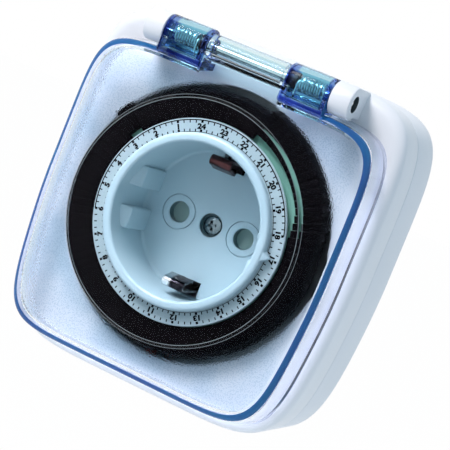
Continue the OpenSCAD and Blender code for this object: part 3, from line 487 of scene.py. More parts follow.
def metal(name, colour, stain, roughness=0.28, stretch=(1.0, 0.06, 1.0), lines=0.12):
    material, tree, shader = newMaterial(name)
    skin = useGroup(tree, "brushed", Base_Roughness=roughness, Stretch=stretch)
    worn = useGroup(tree, "edgeWear", Amount=0.4)["Mask"]
    body = blend(ramp(skin["Stain"], 0.4, 0.75), rgb(colour), rgb(stain))
    fill(shader, {
        "Base Color": blend(worn, body, lighter(colour, 1.2)), "Roughness": skin["Roughness"],
        "Normal": bump(skin["Lines"], lines, 0.0001), "Metallic": 1.0,
    })
    return material


# near tints the face with painted shade near the dark ring
lidFinish = {
    "cloudy": (0.76, 0.85, 0.91, 1.0), "near": (0.66, 0.80, 0.86, 1.0),
    # block is painted shade for the shaded housing seen through the hinge blocks
    "speckle": (0.58, 0.72, 0.80, 1.0), "block": (0.58, 0.79, 0.87, 1.0), "blockWalls": "#7078d0",
    "gloss": (0.02, 0.02, 0.025, 1.0), "lampLight": (0.89, 0.92, 0.97, 1.0),
    "pebbleBump": 0.5, "pebbleHigh": 0.00018,
}


def lidPlastic():  # clear plastic, blue where one looks along its walls, pebbled round the window, with painted shade near the dark ring and on the hinge blocks
    f = lidFinish
    material, tree, shader = newMaterial("lidPlastic")
    hue = take(tree, "ShaderNodeVertexColor", output="Color", layer_name="tint")
    pebble = useGroup(tree, "pebble", Clear_Radius=lid["windowFootR"] / 1000,
                      Front=(lid["front"] - pebbles["behindFront"]) / 1000)
    border = useGroup(tree, "blockBorder")
    for amount, tint in (
        (ramp(pebble["Patch"], 0.42, 0.62) * pebble["Mask"], f["cloudy"]),
        # painted shade near the dark ring
        (pebble["Near"] * ramp(pebble["Patch"], 0.25, 0.6), f["near"]),
        (pebble["Speckle"], f["speckle"]),
        # painted shade: the hinge blocks are darkened for the shaded housing behind them
        (border["Block"], f["block"]),
        (border["Border"], rgb(f["blockWalls"])),
    ):
        hue = blend(amount, hue, tint, "MULTIPLY")
    fill(shader, {
        "Base Color": hue, "Roughness": ramp(pebble["Mask"], 0.0, 1.0, 0.02, 0.09),
        "Normal": bump(pebble["Height"], f["pebbleBump"], f["pebbleHigh"]),
        "IOR": 1.45, "Transmission Weight": 1.0, "Specular Tint": f["gloss"],
    })
    # lamps shine through the lid onto the dial
    through = take(tree, "ShaderNodeBsdfTransparent", {"Color": f["lampLight"]})
    mixShaders(tree, take(tree, "ShaderNodeLightPath", output="Is Shadow Ray"),
               Signal(tree, shader.outputs[0]), through, "Material Output")
    return material


rimFinish = {"blue": "#125e94", "deep": "#1b4f92", "roughness": 0.12, "cloud": 0.012, "gloss": 0.25,
             "clear": 0.1}


def rimPlastic():  # the lid's front edge, where the light inside its wall comes out blue
    f = rimFinish
    material, tree, shader = newMaterial("rimPlastic")
    skin = useGroup(tree, "moulding", Base_Roughness=f["roughness"], Cloud_Size=f["cloud"])
    fill(shader, {
        "Base Color": clouded(skin, f["blue"], f["deep"]), "Roughness": skin["Roughness"],
        "IOR": 1.45, "Specular IOR Level": f["gloss"], "Transmission Weight": f["clear"],
    })
    return material


# hollow is a painted shade colour for the screw's counterbore and the pin holes
wellFinish = {"pale": "#c0d8de", "shade": "#b4ced6", "hollow": "#4c6d73", "screwR": 0.0032,
              "pinHoleR": 0.0028}


def wellPlastic():  # pale well, with painted shade round the screw and in the pin holes
    f = wellFinish
    material, tree, shader = newMaterial("wellPlastic")
    skin = useGroup(tree, "moulding", Base_Roughness=0.32, Roughness_Spread=0.12)
    x, y, z = split(place(tree))
    shadedHoles = []
    for away, r in ((0.0, f["screwR"]), (pinX / 1000, f["pinHoleR"])):
        off = abs(x) - away
        shadedHoles.append(calc("SQRT", off * off + z * z) < r)
    deep = y > -(heights["floor"] - 0.3) / 1000
    # painted shade below the floor in the screw's counterbore and the pin holes
    dark = calc("MAXIMUM", *shadedHoles) * deep
    fill(shader, {
        "Base Color": blend(dark, clouded(skin, f["pale"], f["shade"]), rgb(f["hollow"])),
        "Roughness": skin["Roughness"], "Normal": bump(skin["Grain"], 0.05, 0.0002),
        "Coat Weight": 0.1, "Coat Roughness": 0.12,
    })
    return material


# dark is painted shade where the tappets cover the drum, from greenR outwards
drumFinish = {"green": "#8cc0ae", "shade": "#79b09d", "dark": "#100d0f", "greenR": (0.0277, 0.0279)}


def drumPlastic():  # green inside, with painted shade where the tappets lie over it
    f = drumFinish
    material, tree, shader = newMaterial("drumPlastic")
    skin = useGroup(tree, "moulding", Base_Roughness=0.42)
    flat = take(tree, "ShaderNodeVectorMath", {0: place(tree), 1: (1, 0, 1)}, operation="MULTIPLY")
    reach = take(tree, "ShaderNodeVectorMath", {0: flat}, "Value", operation="LENGTH")
    green = clouded(skin, f["green"], f["shade"], 0.3, 0.7)
    fill(shader, {
        # painted shade outside greenR
        "Base Color": blend(ramp(reach, *f["greenR"]), green, rgb(f["dark"])),
        "Roughness": skin["Roughness"], "Specular IOR Level": 0.2,
    })
    return material


# upper and lower are dark tones of painted shade for the two clips; the light colour is a painted highlight
# on the lower clip's nose
clipFinish = {"upper": "#5c3a3a", "lower": "#2c2a30", "paintedHighlight": "#e9eaea", "stain": "#1c1618",
              "paintedHighlightEnd": (-0.0014, -0.0006)}


def clipMetal():  # dark spring strip with painted shade, darker on the lower clip, and a painted highlight on the lower clip's nose
    f = clipFinish
    material, tree, shader = newMaterial("clipMetal")
    skin = useGroup(tree, "brushed", Base_Roughness=0.22, Stretch=(0.06, 1.0, 1.0))
    x, y, z = split(place(tree))
    low = z < 0.0
    dark = blend(low, rgb(f["upper"]), rgb(f["lower"]))
    # painted highlight on the lower clip's nose
    hue = blend(ramp(x, *f["paintedHighlightEnd"], 1.0, 0.0) * low, dark, rgb(f["paintedHighlight"]))
    fill(shader, {
        "Base Color": blend(ramp(skin["Stain"], 0.45, 0.7, 0.0, 0.5), hue, rgb(f["stain"])),
        "Roughness": skin["Roughness"], "Metallic": 1.0,
    })
    return material


def ink(name, colour, shade):
    material, tree, shader = newMaterial(name)
    skin = useGroup(tree, "moulding", Base_Roughness=0.5, Grain_Size=0.0002, Cloud_Size=0.004)
    fill(shader, {
        "Base Color": clouded(skin, colour, shade, 0.3, 0.7), "Roughness": skin["Roughness"],
        "Specular IOR Level": 0.05,
    })
    return material


# Every slot of the record is a name in here, by which the inner pieces get their finish.
paint = {
    "housing": plastic("housingPlastic", "#e9ecf1", "#e1e5eb", 0.4, 0.10, 0.1, 0.05),
    "well": wellPlastic(),
    "base": plastic("basePlastic", "#3b3d42", "#2e3034", 0.5, 0.15),
    "shutter": plastic("shutterPlastic", "#a3c2ba", "#8fb1a9", 0.45),
    "scale": plastic("scalePlastic", "#b4c5c8", "#a8bbbe", 0.42, 0.04, gloss=0.25),
    "drum": drumPlastic(),
    "tappet": plastic("tappetPlastic", "#080608", "#0d090c", 0.35, 0.03, 0.0, gloss=0.03),
    "bush": plastic("bushPlastic", "#3a1216", "#2a0d10", 0.45),
    # the ear's bore is dark as painted shade in the recess
    "bore": plastic("borePlastic", "#33444a", "#1f2c31", 0.45),
    # bead is pale as painted highlight lines round the lid's window
    "bead": plastic("beadPlastic", "#9aa7ad", "#6d7a82", 0.2),
    "gear": plastic("gearPlastic", "#ece7d6", "#dfd9c4", 0.42),
    "lever": plastic("leverPlastic", "#d9542b", "#c74823", 0.42),
    "wire_brown": plastic("brownInsulation", "#6a3f24", "#5b351e", 0.5),
    "wire_blue": plastic("blueInsulation", "#2f5fb4", "#2852a0", 0.5),
    "steel": metal("springSteel", "#c9cdd1", "#a3a8ad", 0.24),
    "spring": metal("springWire", "#eef2f4", "#c2cace", 0.16, lines=0.03),
    "nickel": metal("nickelPlate", "#9aa3a3", "#5f6b6d", 0.2, lines=0.05),
    "screw": metal("screwPlate", "#8b999d", "#3b494e", 0.22, lines=0.05),
    "brass": metal("brassStrip", "#c9a557", "#a07c39", 0.3),
    "copper": metal("copperWinding", "#b8693b", "#8a4726", 0.35, (1.0, 1.0, 0.04), 0.5),
    "plate": metal("zincPlate", "#aeb4b8", "#8d9498", 0.42),
    "magnet": metal("magnetIron", "#5b5d60", "#454749", 0.5),
    "lid": lidPlastic(), "rim": rimPlastic(), "clip": clipMetal(),
    "print": ink("dialInk", "#020203", "#0a0b0d"),
}
print("materials ready")


# Housing shells.

posts = {"r": 2.9, "places": [(33.5, 36.0), (-33.5, 36.0), (33.5, -34.0), (-37.7, -12.0)],
         "threadR": 1.3, "headR": 2.6, "shankR": 1.7, "seat": 25.0, "plateTop": 36.0}


def ear():
    y, z, r, footY = hingeUp, heights["hinge"], hinge["earR"], hinge["earFootY"]
    foot = heights["front"] - 1.5
    turn = degrees(atan2(-sqrt(r * r - (y - footY) ** 2), footY - y))
    profile = [(y + r, foot)] + arc((y, z), r, 0, 360 + turn, 36) + [(footY, foot)]
    obj = alongX(prism(profile, hinge["earX"], hinge["earX"] + hinge["earLength"]))
    return rounded(tidied(obj), 0.35, 3, 60)


def frontShell():
    h, split, front = housing, heights["split"], heights["front"]
    groove, wall = h["grooveDeep"], h["wall"]
    bore, end = hinge["earBoreR"], hinge["earX"] + hinge["earLength"]
    rings = ringsAt(h, [(groove, split), (groove, split + 0.12), (0.06, split + 0.3), (0, split + 0.55)])
    rings += shellEdge(h, front, h["frontEdge"], 1)
    rings += circlesIn(h, [(h["openingR"] + 0.5, front), (h["openingR"] + 0.15, front - 0.1),
                           (h["openingR"], front - 0.4), (h["openingR"], front - wall)])
    rings += ringsAt(h, [(wall + 0.6, front - wall), (wall, front - wall - 0.6), (wall, split + 1.25),
                         (wall / 2, split + 1.25), (wall / 2, split)])
    shell = fromRings(rings, loop=True)
    join(shell, [rod(posts["r"], posts["plateTop"], front - 1, p) for p in posts["places"]])
    join(shell, pair(ear))
    carve(shell, [rod(posts["threadR"], posts["plateTop"] - 1, posts["plateTop"] + 6, p, 32)
                  for p in posts["places"]])
    for side in (-1, 1):
        carve(shell, [hingeRod(hinge["pinR"] + 0.03, side * (hinge["earX"] - 1), side * end + side),
                      hingeRod(bore, side * end - side * hinge["earBoreDeep"], side * end + side)])
    axis = Vector((hingeUp, heights["hinge"]))
    inBore = [end - hinge["earBoreDeep"] - 0.1 < abs(p.x) < end - 0.05 and (p.yz - axis).length < bore + 0.01
              for p in (face.center for face in shell.data.polygons)]
    hang(shell, "frontShell", paint["housing"], "housing", "housing", "front_housing")
    # painted shade: the faces inside the ear's bore get the dark bore finish
    coatFaces(shell, paint["bore"], inBore)


plugBody = {"r": 18.5, "hollowR": 16.2, "hollowX": 13.9, "hollowY": 14.9, "faceT": 3.5,
            "grooveDeep": 2.6, "grooveWidth": 5.5, "earthSeat": 16.9, "earthWidth": 6.0,
            "pinHoleR": 2.63, "postR": 3.4, "postTop": 27.9, "postBoreR": 1.3}


def plugBodyCuts():
    p, back, beyond = plugBody, heights["back"], plugBody["r"] + 1
    w = p["earthWidth"] / 2 + 0.3
    hollow = block(-p["hollowX"], p["hollowX"], -p["hollowY"], p["hollowY"], p["faceT"], 20)
    tools = [join(hollow, [rod(p["hollowR"], p["faceT"] - 1, 21)], "INTERSECT")]
    for side in (-1, 1):
        a, b = sorted((side * (p["r"] - p["grooveDeep"]), side * beyond))
        tools += [rod(p["pinHoleR"], -1, p["faceT"] + 1, (side * pinX, 0)),
                  block(a, b, -p["grooveWidth"] / 2, p["grooveWidth"] / 2, -1, back - 1),
                  sideBlock(side, w, p["earthSeat"], beyond, -1, back - 1),
                  sideBlock(side, w, p["earthSeat"], p["earthSeat"] + 1, back - 2, back + 3),
                  sideBlock(side, w, p["hollowY"], p["earthSeat"], back, back + 3)]
    return tools


def rearShell():
    h, p, split, back = housing, plugBody, heights["split"], heights["back"]
    r, wall, groove, lap = p["r"], h["wall"], h["grooveDeep"], h["wall"] / 2 + 0.05
    rings = circlesIn(h, [(r - 2.2, 0.0), (r - 1.0, 0.0), (r - 0.3, 0.35), (r, 1.0), (r, back - 0.8),
                          (r + 0.25, back - 0.25), (r + 0.9, back)])
    rings += reversed(shellEdge(h, back, h["backEdge"], -1))
    rings += ringsAt(h, [(0, split - 0.55), (0.06, split - 0.3), (groove, split - 0.12), (groove, split),
                         (lap, split), (lap, split + 1.2), (wall, split + 1.2), (wall, back + wall + 0.6),
                         (wall + 0.6, back + wall)])
    shell = fromRings(rings)
    carve(shell, plugBodyCuts())
    head, seat = posts["headR"] + 0.3, posts["seat"]
    for at in posts["places"]:
        tower = rod(head + 1.0, back + 0.5, seat + 1.5, at)
        join(shell, [join(tower, [rod(posts["r"], seat, posts["plateTop"] - 1.5, at)])])
        carve(shell, [lathe([(head, back + 1), (head, seat)], 48, at),
                      lathe([(head + 0.5, back - 0.5), (head + 0.5, back), (head, back + 0.5),
                             (head, back + 2)], 48, at),
                      rod(posts["shankR"], seat - 1, posts["plateTop"] + 1, at, 32)])
    join(shell, [rod(p["postR"], p["faceT"] - 1, p["postTop"], count=48)])
    carve(shell, [rod(p["postBoreR"], 8, 30, count=32)])
    hang(shell, "rearShell", paint["housing"], "housing", "housing", "rear_housing")


frontShell()
rearShell()
print("shells ready")


# Screws and pins.

def crossSlot(reach, depth, top, width):  # pointed cross of a driver, cut down from top
    tools = []
    for turn in (0, pi / 2):
        blade = block(-reach, reach, -width / 2, width / 2, 0, 1)
        for v in blade.data.vertices:
            if v.co.z < 0.5:
                v.co.x, v.co.y = v.co.x * 0.35, v.co.y * 0.7
        blade.data.transform(Matrix.Translation((0, 0, top - depth)) @ Matrix.Rotation(turn, 4, "Z")
                             @ Matrix.Scale(depth + 0.2, 4, (0, 0, 1)))
        tools.append(blade)
    return tools + [lathe([(0.25, top - depth - 0.15), (reach * 0.42, top + 0.2)], 24)]


def screw(headR, headH, shankR, length, turn=0.0):  # head above z = 0, shank below
    dome = arc((0, -headR * 1.1), headR * 1.49, 55, 87, 8)
    dome = [(r, z - dome[0][1] + headH * 0.55) for r, z in dome]
    scaleUp = headR / dome[0][0]
    profile = [(shankR * 0.6, -length), (shankR, -length + shankR * 0.5), (shankR, 0), (headR - 0.15, 0),
               (headR, 0.15)] + [(r * scaleUp, z) for r, z in dome]
    obj = lathe(profile, 64)
    top = max(v.co.z for v in obj.data.vertices)
    carve(obj, crossSlot(headR * 0.66, headH * 0.9, top, headR * 0.32))
    obj.data.transform(Matrix.Rotation(turn, 4, "Z"))
    return obj


wellScrew = {"headR": 2.5, "headH": 1.2, "shankR": 1.3, "seatUnderTop": 1.3, "turn": radians(18)}


def centreScrew():
    s = wellScrew
    seat = screwHigh.z - s["seatUnderTop"]
    obj = screw(s["headR"], s["headH"], s["shankR"], seat - screwLow.z, s["turn"])
    obj.data.transform(Matrix.Translation((0, 0, seat)))
    hang(obj, "centreScrew", paint["screw"], "nickel", "housing", "centre_screw")


rearScrew = {"headH": 1.7, "shankR": 1.3, "length": 16.0, "turnEach": 0.7}


def housingScrews():
    s, made = rearScrew, []
    for k, (x, y) in enumerate(posts["places"]):
        obj = screw(posts["headR"], s["headH"], s["shankR"], s["length"], s["turnEach"] * k)
        obj.data.transform(Matrix.Translation((x, y, posts["seat"])) @ Matrix.Rotation(pi, 4, "X"))
        made.append(obj)
    hang(together(made), "housingScrews", paint["steel"], "steel", "housing", "housing_screws")


contactPin = {"r": 2.4, "tipRound": 1.5, "tipFlatR": 0.45, "sleeveR": 2.6, "flangeR": 3.7,
              "flangeTop": 4.7, "studR": 1.4, "studTop": 6.3}


def plugPin(name, x, node):
    p, face, tip, curve = contactPin, plugBody["faceT"], plugLow.z, contactPin["tipRound"]
    profile = [(p["tipFlatR"], tip)] + arc((p["r"] - curve, tip + curve), curve, 270, 360, 8)
    profile += [(p["r"], 0.0), (p["sleeveR"], 0.0), (p["sleeveR"], face), (p["flangeR"], face),
                (p["flangeR"], p["flangeTop"]), (p["studR"], p["flangeTop"]), (p["studR"], p["studTop"])]
    hang(lathe(profile, 64, (x, 0)), name, paint["nickel"], "nickel", "housing", node)


centreScrew()
housingScrews()
plugPin("plugPinRight", pinX, "plug_pin_live")
plugPin("plugPinLeft", -pinX, "plug_pin_neutral")
print("screws and pins ready")


# Socket well.

well = {"r": 19.5, "tubeR": 21.3, "lipR": 21.9, "holeR": 2.75, "holeRing": 4.5, "ribInner": 16.6,
        "ribGap": 5.4, "ribWidth": 5.6, "ribHeight": 14.3, "slotHalf": 3.4, "slotIn": 14.8,
        "slotOut": 19.1, "screwSeat": heights["floor"] - 1.8, "screwR": 3.1, "threadR": 1.65}


def guideRibs(side):
    foot, top = heights["floor"] - 0.5, heights["floor"] + well["ribHeight"]
    inner, outer = well["ribInner"], well["r"] + 0.9
    profile = [(inner, foot), (outer, foot), (outer, top + 0.6), (inner, top - 2.4)]
    middle, half = side * (well["ribGap"] + well["ribWidth"]) / 2, well["ribWidth"] / 2

    def rib():
        obj = fromRings([[Vector((x, y, z)) for x, z in profile] for y in (middle - half, middle + half)])
        return join(rounded(tidied(obj), 0.45, 3, 30), [rod(well["r"] + 0.8, foot, top + 2, count=128)],
                    "INTERSECT")

    return pair(rib)


wedge = {"foot": (0.9, 2.3, 1.8), "top": (1.3, 2.0, 1.6), "overDial": 0.35, "underRim": (0.05, 0.75)}


def pointer():  # wedge on the lip, each end as (root inside the lip, half width, reach beyond it)
    lip, low, rings = well["lipR"], heights["dial"] + wedge["overDial"], []
    rootTop, tipTop = [heights["rim"] - down for down in wedge["underRim"]]
    for (root, half, reach), rootZ, tipZ in ((wedge["foot"], low, low), (wedge["top"], rootTop, tipTop)):
        rings.append([Vector((lip - root, -half, rootZ)), Vector((lip + reach, 0, tipZ)),
                      Vector((lip - root, half, rootZ))])
    return rounded(fromRings(rings), 0.14, 2, 20)


def socketWell():
    w, (floor, under, dial, rim) = well, [heights[key] for key in ("floor", "floorUnder", "dial", "rim")]
    r, tube, lip, hole = w["r"], w["tubeR"], w["lipR"], w["holeR"]
    profile = [(tube - 0.3, under), (tube, under + 0.3), (tube, dial + 0.2), (lip, dial + 0.2)]
    profile += arc((lip - 0.9, rim - 0.9), 0.9, 0, 82, 7) + arc((r + 0.75, rim - 0.75), 0.75, 98, 180, 7)
    profile += [(r, floor + 1.2)] + arc((r - 0.9, floor + 0.9), 0.9, 0, -90, 5) + [(r - 3, floor)]
    obj = lathe(profile, 192)
    for side in (-1, 1):
        join(obj, guideRibs(side))
    join(obj, [pointer()])
    for side in (-1, 1):
        at = (side * pinX, 0)
        groove = rod(w["holeRing"] + 0.17, floor - 0.45, floor + 0.5, at)
        carve(groove, [rod(w["holeRing"] - 0.1, floor - 1, floor + 1, at)])
        carve(obj, [rod(hole, under - 1, floor + 1, at),
                    lathe([(hole - 0.2, floor - 0.45), (hole + 0.4, floor + 0.15)], 64, at), groove,
                    sideBlock(side, w["slotHalf"], w["slotIn"], w["slotOut"], under - 1, floor + 1)])
    carve(obj, [rod(w["screwR"], w["screwSeat"], floor + 1), rod(w["threadR"], under - 1, floor + 1),
                lathe([(3.0, floor - 0.25), (3.5, floor + 0.2)], 64)])
    hang(obj, "socketWell", paint["well"], "well", "housing", "socket_well")


earth = {"half": 3.0, "t": 0.7, "limb": 17.25, "start": heights["back"] - 14.0, "foot": 18.65,
         "bend": 44.4, "bendR": 1.0, "cross": 18.3, "discR": 5.8, "boreR": 3.7}


def earthStrip(side):  # one clip with its limb and its plug contact, as a bent strip
    limb, bend, r = earth["limb"], earth["bend"], earth["bendR"]
    path = [(limb, earth["start"]), (limb, earth["foot"]), (limb, bend - 0.6)]
    path += arc((limb - r, bend), r, 10, 165, 8)
    path += [(limb - inwards, bend - down) for inwards, down in (
        (2.35, 1.6), (2.8, 3.0), (2.75, 4.2), (2.2, 5.4), (1.8, 6.3))]
    rings, n = [], len(path)
    for k, (y, z) in enumerate(path):
        a, b = Vector(path[max(k - 1, 0)]), Vector(path[min(k + 1, n - 1)])
        off = Vector((-(b - a).y, (b - a).x)).normalized() * (earth["t"] / 2)
        w = earth["half"] - (0.9 if k == n - 1 else 0.35 if k == n - 2 else 0)
        rings.append([Vector((x, y + face * off.x, z + face * off.y))
                      for x, face in ((-w, 1), (w, 1), (w, -1), (-w, -1))])
    obj = rounded(fromRings(rings), 0.14, 2, 60)
    if side < 0:
        obj.data.transform(Matrix.Rotation(pi, 4, "Z"))
    return obj


def earthBracket():
    cross, half, t = earth["cross"], earth["half"], earth["t"]
    reach = earth["limb"] + t / 2
    obj = rounded(block(-half, half, -reach, reach, cross, cross + t), 0.12, 2)
    join(obj, [rod(earth["discR"], cross + 0.01, cross + t - 0.01)])
    join(obj, [earthStrip(1), earthStrip(-1)])
    carve(obj, [rod(earth["boreR"], cross - 1, cross + 2)])
    hang(obj, "earthBracket", paint["clip"], "steel", "housing", "earth_bracket")


socketWell()
earthBracket()
print("socket ready")


# Dial. Tappets and hours are counted from the figure 24, anticlockwise as seen from the front.

quarter = radians(3.75)
tappets = {
    "count": 96, "zero": radians(104.3), "gap": radians(0.02), "travel": 1.65,
    "innerR": scaleHigh.x + 0.2, "tailR": 31.5, "outerR": scaleHigh.x + 8.2,
    "top": heights["dial"] - 1.1, "foot": heights["dial"] - 2.84, "tailFoot": 41.2,
    "eveningFirst": 72, "eveningLast": 87, "nightFirst": 10, "nightLast": 11,
    "firstShare": 0.3, "shareStep": 0.25, "looseFirst": 4, "looseStep": 12,
}


def grow(obj, tree, **values):  # the tree's result replaces the object's mesh
    step = obj.modifiers.new(tree.name, "NODES")
    step.node_group = tree
    for item in tree.interface.items_tree:
        key = item.name.replace(" ", "_")
        if item.in_out == "INPUT" and key in values:
            step[item.identifier] = values[key]
    return settle(obj)


def repeatAround(tree, given, out, instance, kept, angle, radius):
    spot = take(tree, "ShaderNodeCombineXYZ", {
        0: calc("COSINE", angle) * radius, 1: calc("SINE", angle) * radius})
    points = take(tree, "GeometryNodePoints", {"Count": given["Count"], "Position": spot})
    copies = take(tree, "GeometryNodeInstanceOnPoints", {
        "Points": points, "Selection": kept, "Instance": instance,
        "Rotation": take(tree, "ShaderNodeCombineXYZ", {2: angle})})
    real = take(tree, "GeometryNodeRealizeInstances", {0: copies})
    fill(out, {0: take(tree, "GeometryNodeSetMaterial", {"Geometry": real, "Material": given["Material"]})})
    return tree


def inRun(index, first, last):
    return (index > first - 0.5) * (index < last + 0.5)


def tappetTree():
    t = tappets
    tree, given, out = newTree("tappetRing", {
        "Geometry": "Geometry", "Count": t["count"], "Zero Turn": t["zero"], "Travel": t["travel"],
        "Evening First": t["eveningFirst"], "Evening Last": t["eveningLast"],
        "Night First": t["nightFirst"], "Night Last": t["nightLast"],
        "Loose First": t["looseFirst"], "Loose Step": t["looseStep"], "Show Out": 0,
        "Material": "Material",
    }, ["Geometry"], "GeometryNodeTree", "Geometry")
    index = take(tree, "GeometryNodeInputIndex")
    evening = inRun(index, given["Evening First"], given["Evening Last"])
    night = inRun(index, given["Night First"], given["Night Last"])
    drawn = calc("MINIMUM", (index - given["Evening First"]) * t["shareStep"] + t["firstShare"], 1.0)
    shift = (evening * drawn + night) * given["Travel"]
    fixed = abs((index - given["Loose First"]) % given["Loose Step"]) > 0.5
    shown = abs(evening + night - given["Show Out"]) < 0.5
    angle = (index + 0.5) * quarter + given["Zero Turn"]
    return repeatAround(tree, given, out, given["Geometry"], fixed * shown, angle, shift)


def oneTappet():
    t, front = tappets, heights["front"]
    inner, tail, outer = t["innerR"], t["tailR"], t["outerR"]
    profile = [(inner, t["foot"]), (tail, t["foot"]), (tail, t["tailFoot"]), (tail + 1, t["tailFoot"]),
               (tail + 1, t["foot"] - 0.4), (outer - 1.2, front + 0.4), (outer, front + 0.4),
               (outer, front + 0.9), (tail + 1.2, t["top"]), (inner, t["top"])]
    half = (quarter - t["gap"]) / 2
    rings = [[Vector((r * cos(a), r * sin(a), z)) for r, z in profile] for a in (-half, half)]
    return rounded(fromRings(rings), 0.04, 2, 20)


def tappetShift(k):
    t = tappets
    if t["eveningFirst"] <= k <= t["eveningLast"]:
        return t["travel"] * min(1, t["firstShare"] + t["shareStep"] * (k - t["eveningFirst"]))
    return t["travel"] if t["nightFirst"] <= k <= t["nightLast"] else 0


def allTappets():  # eight slide alone, and the rest stand in two rings
    tree, model, t = tappetTree(), oneTappet(), tappets
    for name, node, showOut in (("tappetsIn", "tappets_in", 0), ("tappetsOut", "tappets_out", 1)):
        ring = grow(newObject(model.data.copy()), tree, Show_Out=showOut, Material=paint["tappet"])
        hang(ring, name, paint["tappet"], "tappet", "dial", node)
    for n, k in enumerate(range(t["looseFirst"], t["count"], t["looseStep"]), 1):
        obj, body = newObject(model.data.copy()), "tappet_%02d" % n
        obj.data.transform(Matrix.Rotation(t["zero"] + (k + 0.5) * quarter, 4, "Z")
                           @ Matrix.Translation((tappetShift(k), 0, 0)))
        hang(obj, "looseTappet%02d" % n, paint["tappet"], "tappet", body, body)
    bpy.data.objects.remove(model)


scale = {
    "inner": scaleHigh.x - 4.1, "outer": scaleHigh.x, "bevel": 0.15, "thick": 1.0, "ink": 0.03,
    "innerLine": (22.15, 22.28), "innerTick": (22.28, 22.92), "innerSquare": (22.2, 22.85),
    "outerLine": (25.02, 25.3), "outerTick": (24.38, 25.05), "outerSquare": (24.5, 25.12),
    "tickWide": 0.27, "squareWide": 0.62, "figureR": 23.62, "figureHigh": 1.42,
    "figureNarrow": 1.22, "figureBold": 0.055,
}


def tickTree():
    tree, given, out = newTree("tickRow", {
        "Geometry": "Geometry", "Count": 24, "First Turn": 0.0, "Step Turn": quarter, "Skip Every": 1000,
        "Inner Radius": 20.0, "Outer Radius": 21.0, "Width": 0.2, "Height": 0.03, "Material": "Material",
    }, ["Geometry"], "GeometryNodeTree", "Geometry")
    index = take(tree, "GeometryNodeInputIndex")
    inner, outer = given["Inner Radius"], given["Outer Radius"]
    size = take(tree, "ShaderNodeCombineXYZ", {0: outer - inner, 1: given["Width"], 2: given["Height"]})
    tick = take(tree, "GeometryNodeMeshCube", {"Size": size}, "Mesh")
    return repeatAround(tree, given, out, tick, index % given["Skip Every"] > 0.5,
                        index * given["Step Turn"] + given["First Turn"], (inner + outer) * 0.5)


def bandArc(r0, r1, first, last, low, high, steps=96):
    turns = [first + (last - first) * k / steps for k in range(steps + 1)]
    outer, inner = [[(r * cos(a), r * sin(a)) for a in turns] for r in (r1, r0)]
    return prism(outer + inner[::-1], low, high)


def figure(number, turn):
    curve = bpy.data.curves.new("figure", "FONT")
    curve.body, curve.size, curve.extrude, curve.offset = str(number), 1.0, 0.01, scale["figureBold"]
    curve.align_x, curve.align_y, curve.resolution_u = "CENTER", "CENTER", 3
    text = newObject(curve)
    mesh = meshOf(text)
    bpy.data.objects.remove(text)
    xs, ys = [[v.co[axis] for v in mesh.vertices] for axis in (0, 1)]
    size = scale["figureHigh"] / (max(ys) - min(ys))
    mesh.transform(Matrix.Diagonal((size * scale["figureNarrow"], size, 1, 1))
                   @ Matrix.Translation((-(max(xs) + min(xs)) / 2, -(min(ys) + max(ys)) / 2, 0)))
    r = scale["figureR"]
    mesh.transform(Matrix.Translation((r * cos(turn), r * sin(turn), heights["dial"] + 0.02))
                   @ Matrix.Rotation(turn - pi / 2, 4, "Z"))
    return tidied(newObject(mesh))


def dialPrint():  # rings, ticks and the plain figures 1 to 24
    s, zero, hour, tree = scale, tappets["zero"], 4 * quarter, tickTree()
    low, high = heights["dial"] - 0.01, heights["dial"] + s["ink"]
    inner, outer = s["innerLine"]
    made = [lathe([(inner, low), (outer, low), (outer, high), (inner, high)], 192, loop=True),
            bandArc(*s["outerLine"], zero + 18 * hour - 2 * pi, zero + 6 * hour, low, high)]
    for edge in ("inner", "outer"):
        for kind, count, first, step, skip, width in (
            ("Tick", 97, zero, quarter, 4, s["tickWide"]),
            ("Square", 25, zero - hour, hour, 1000, s["squareWide"]),
        ):
            row = grow(newObject(bpy.data.meshes.new("row")), tree, Count=count, First_Turn=first,
                       Step_Turn=step, Skip_Every=skip, Inner_Radius=s[edge + kind][0],
                       Outer_Radius=s[edge + kind][1], Width=width, Height=high - low,
                       Material=paint["print"])
            row.data.transform(Matrix.Translation((0, 0, (low + high) / 2)))
            made.append(row)
    made += [figure(n, zero + n * hour) for n in range(1, 25)]
    hang(together(made), "dialPrint", paint["print"], "tappet", "dial")


def dialScale():
    inner, outer, z, b = scale["inner"], scale["outer"], heights["dial"], scale["bevel"]
    foot = z - scale["thick"]
    profile = [(inner, foot), (outer - b, foot), (outer, foot + b), (outer, z - b), (outer - b, z),
               (inner + b, z), (inner, z - b)]
    hang(lathe(profile, 192, loop=True), "dialScale", paint["scale"], "scale", "dial", "dial_scale")


allTappets()
dialScale()
dialPrint()
print("dial ready")


# Lid.

lidTints = {
    "face": (0.86, 0.915, 0.96, 1), "skirt": (0.80, 0.84, 0.97, 1), "hinge": (0.70, 0.86, 0.90, 1),
    "tube": (0.76, 0.88, 0.92, 1), "blockBottom": 48.5,
}
mouldLines = {"deep": 0.14, "y": (27.42, 27.58), "x": (37, 42)}


def lidShell():
    front, wall, flare, foot = lid["front"], lid["wall"], lid["flare"], lid["foot"]
    inside = ringsAt(lid, [(wall - flare, foot), (wall, front - lid["edge"])]
                     + [(wall + inwards, front - wall - down) for inwards, down in (
                         (0.1, 0.7), (0.3, 0.4), (0.6, 0.12), (1.0, 0))])
    outside = ringsAt(lid, [(-flare, foot)]) + shellEdge(lid, front, lid["edge"], 1, 12)
    r0, r1, rise = lid["windowFootR"], lid["windowR"], lid["windowRise"]
    slope = ((-0.3, 0), (0, 0.02), (0.12, 0.09), (0.88, 0.91), (1.0, 0.98), (1.25, 1.0))
    window = circlesIn(lid, [(r0 + (r1 - r0) * inwards, front + rise * up) for inwards, up in slope])
    return fromRings(inside[::-1] + outside + window)


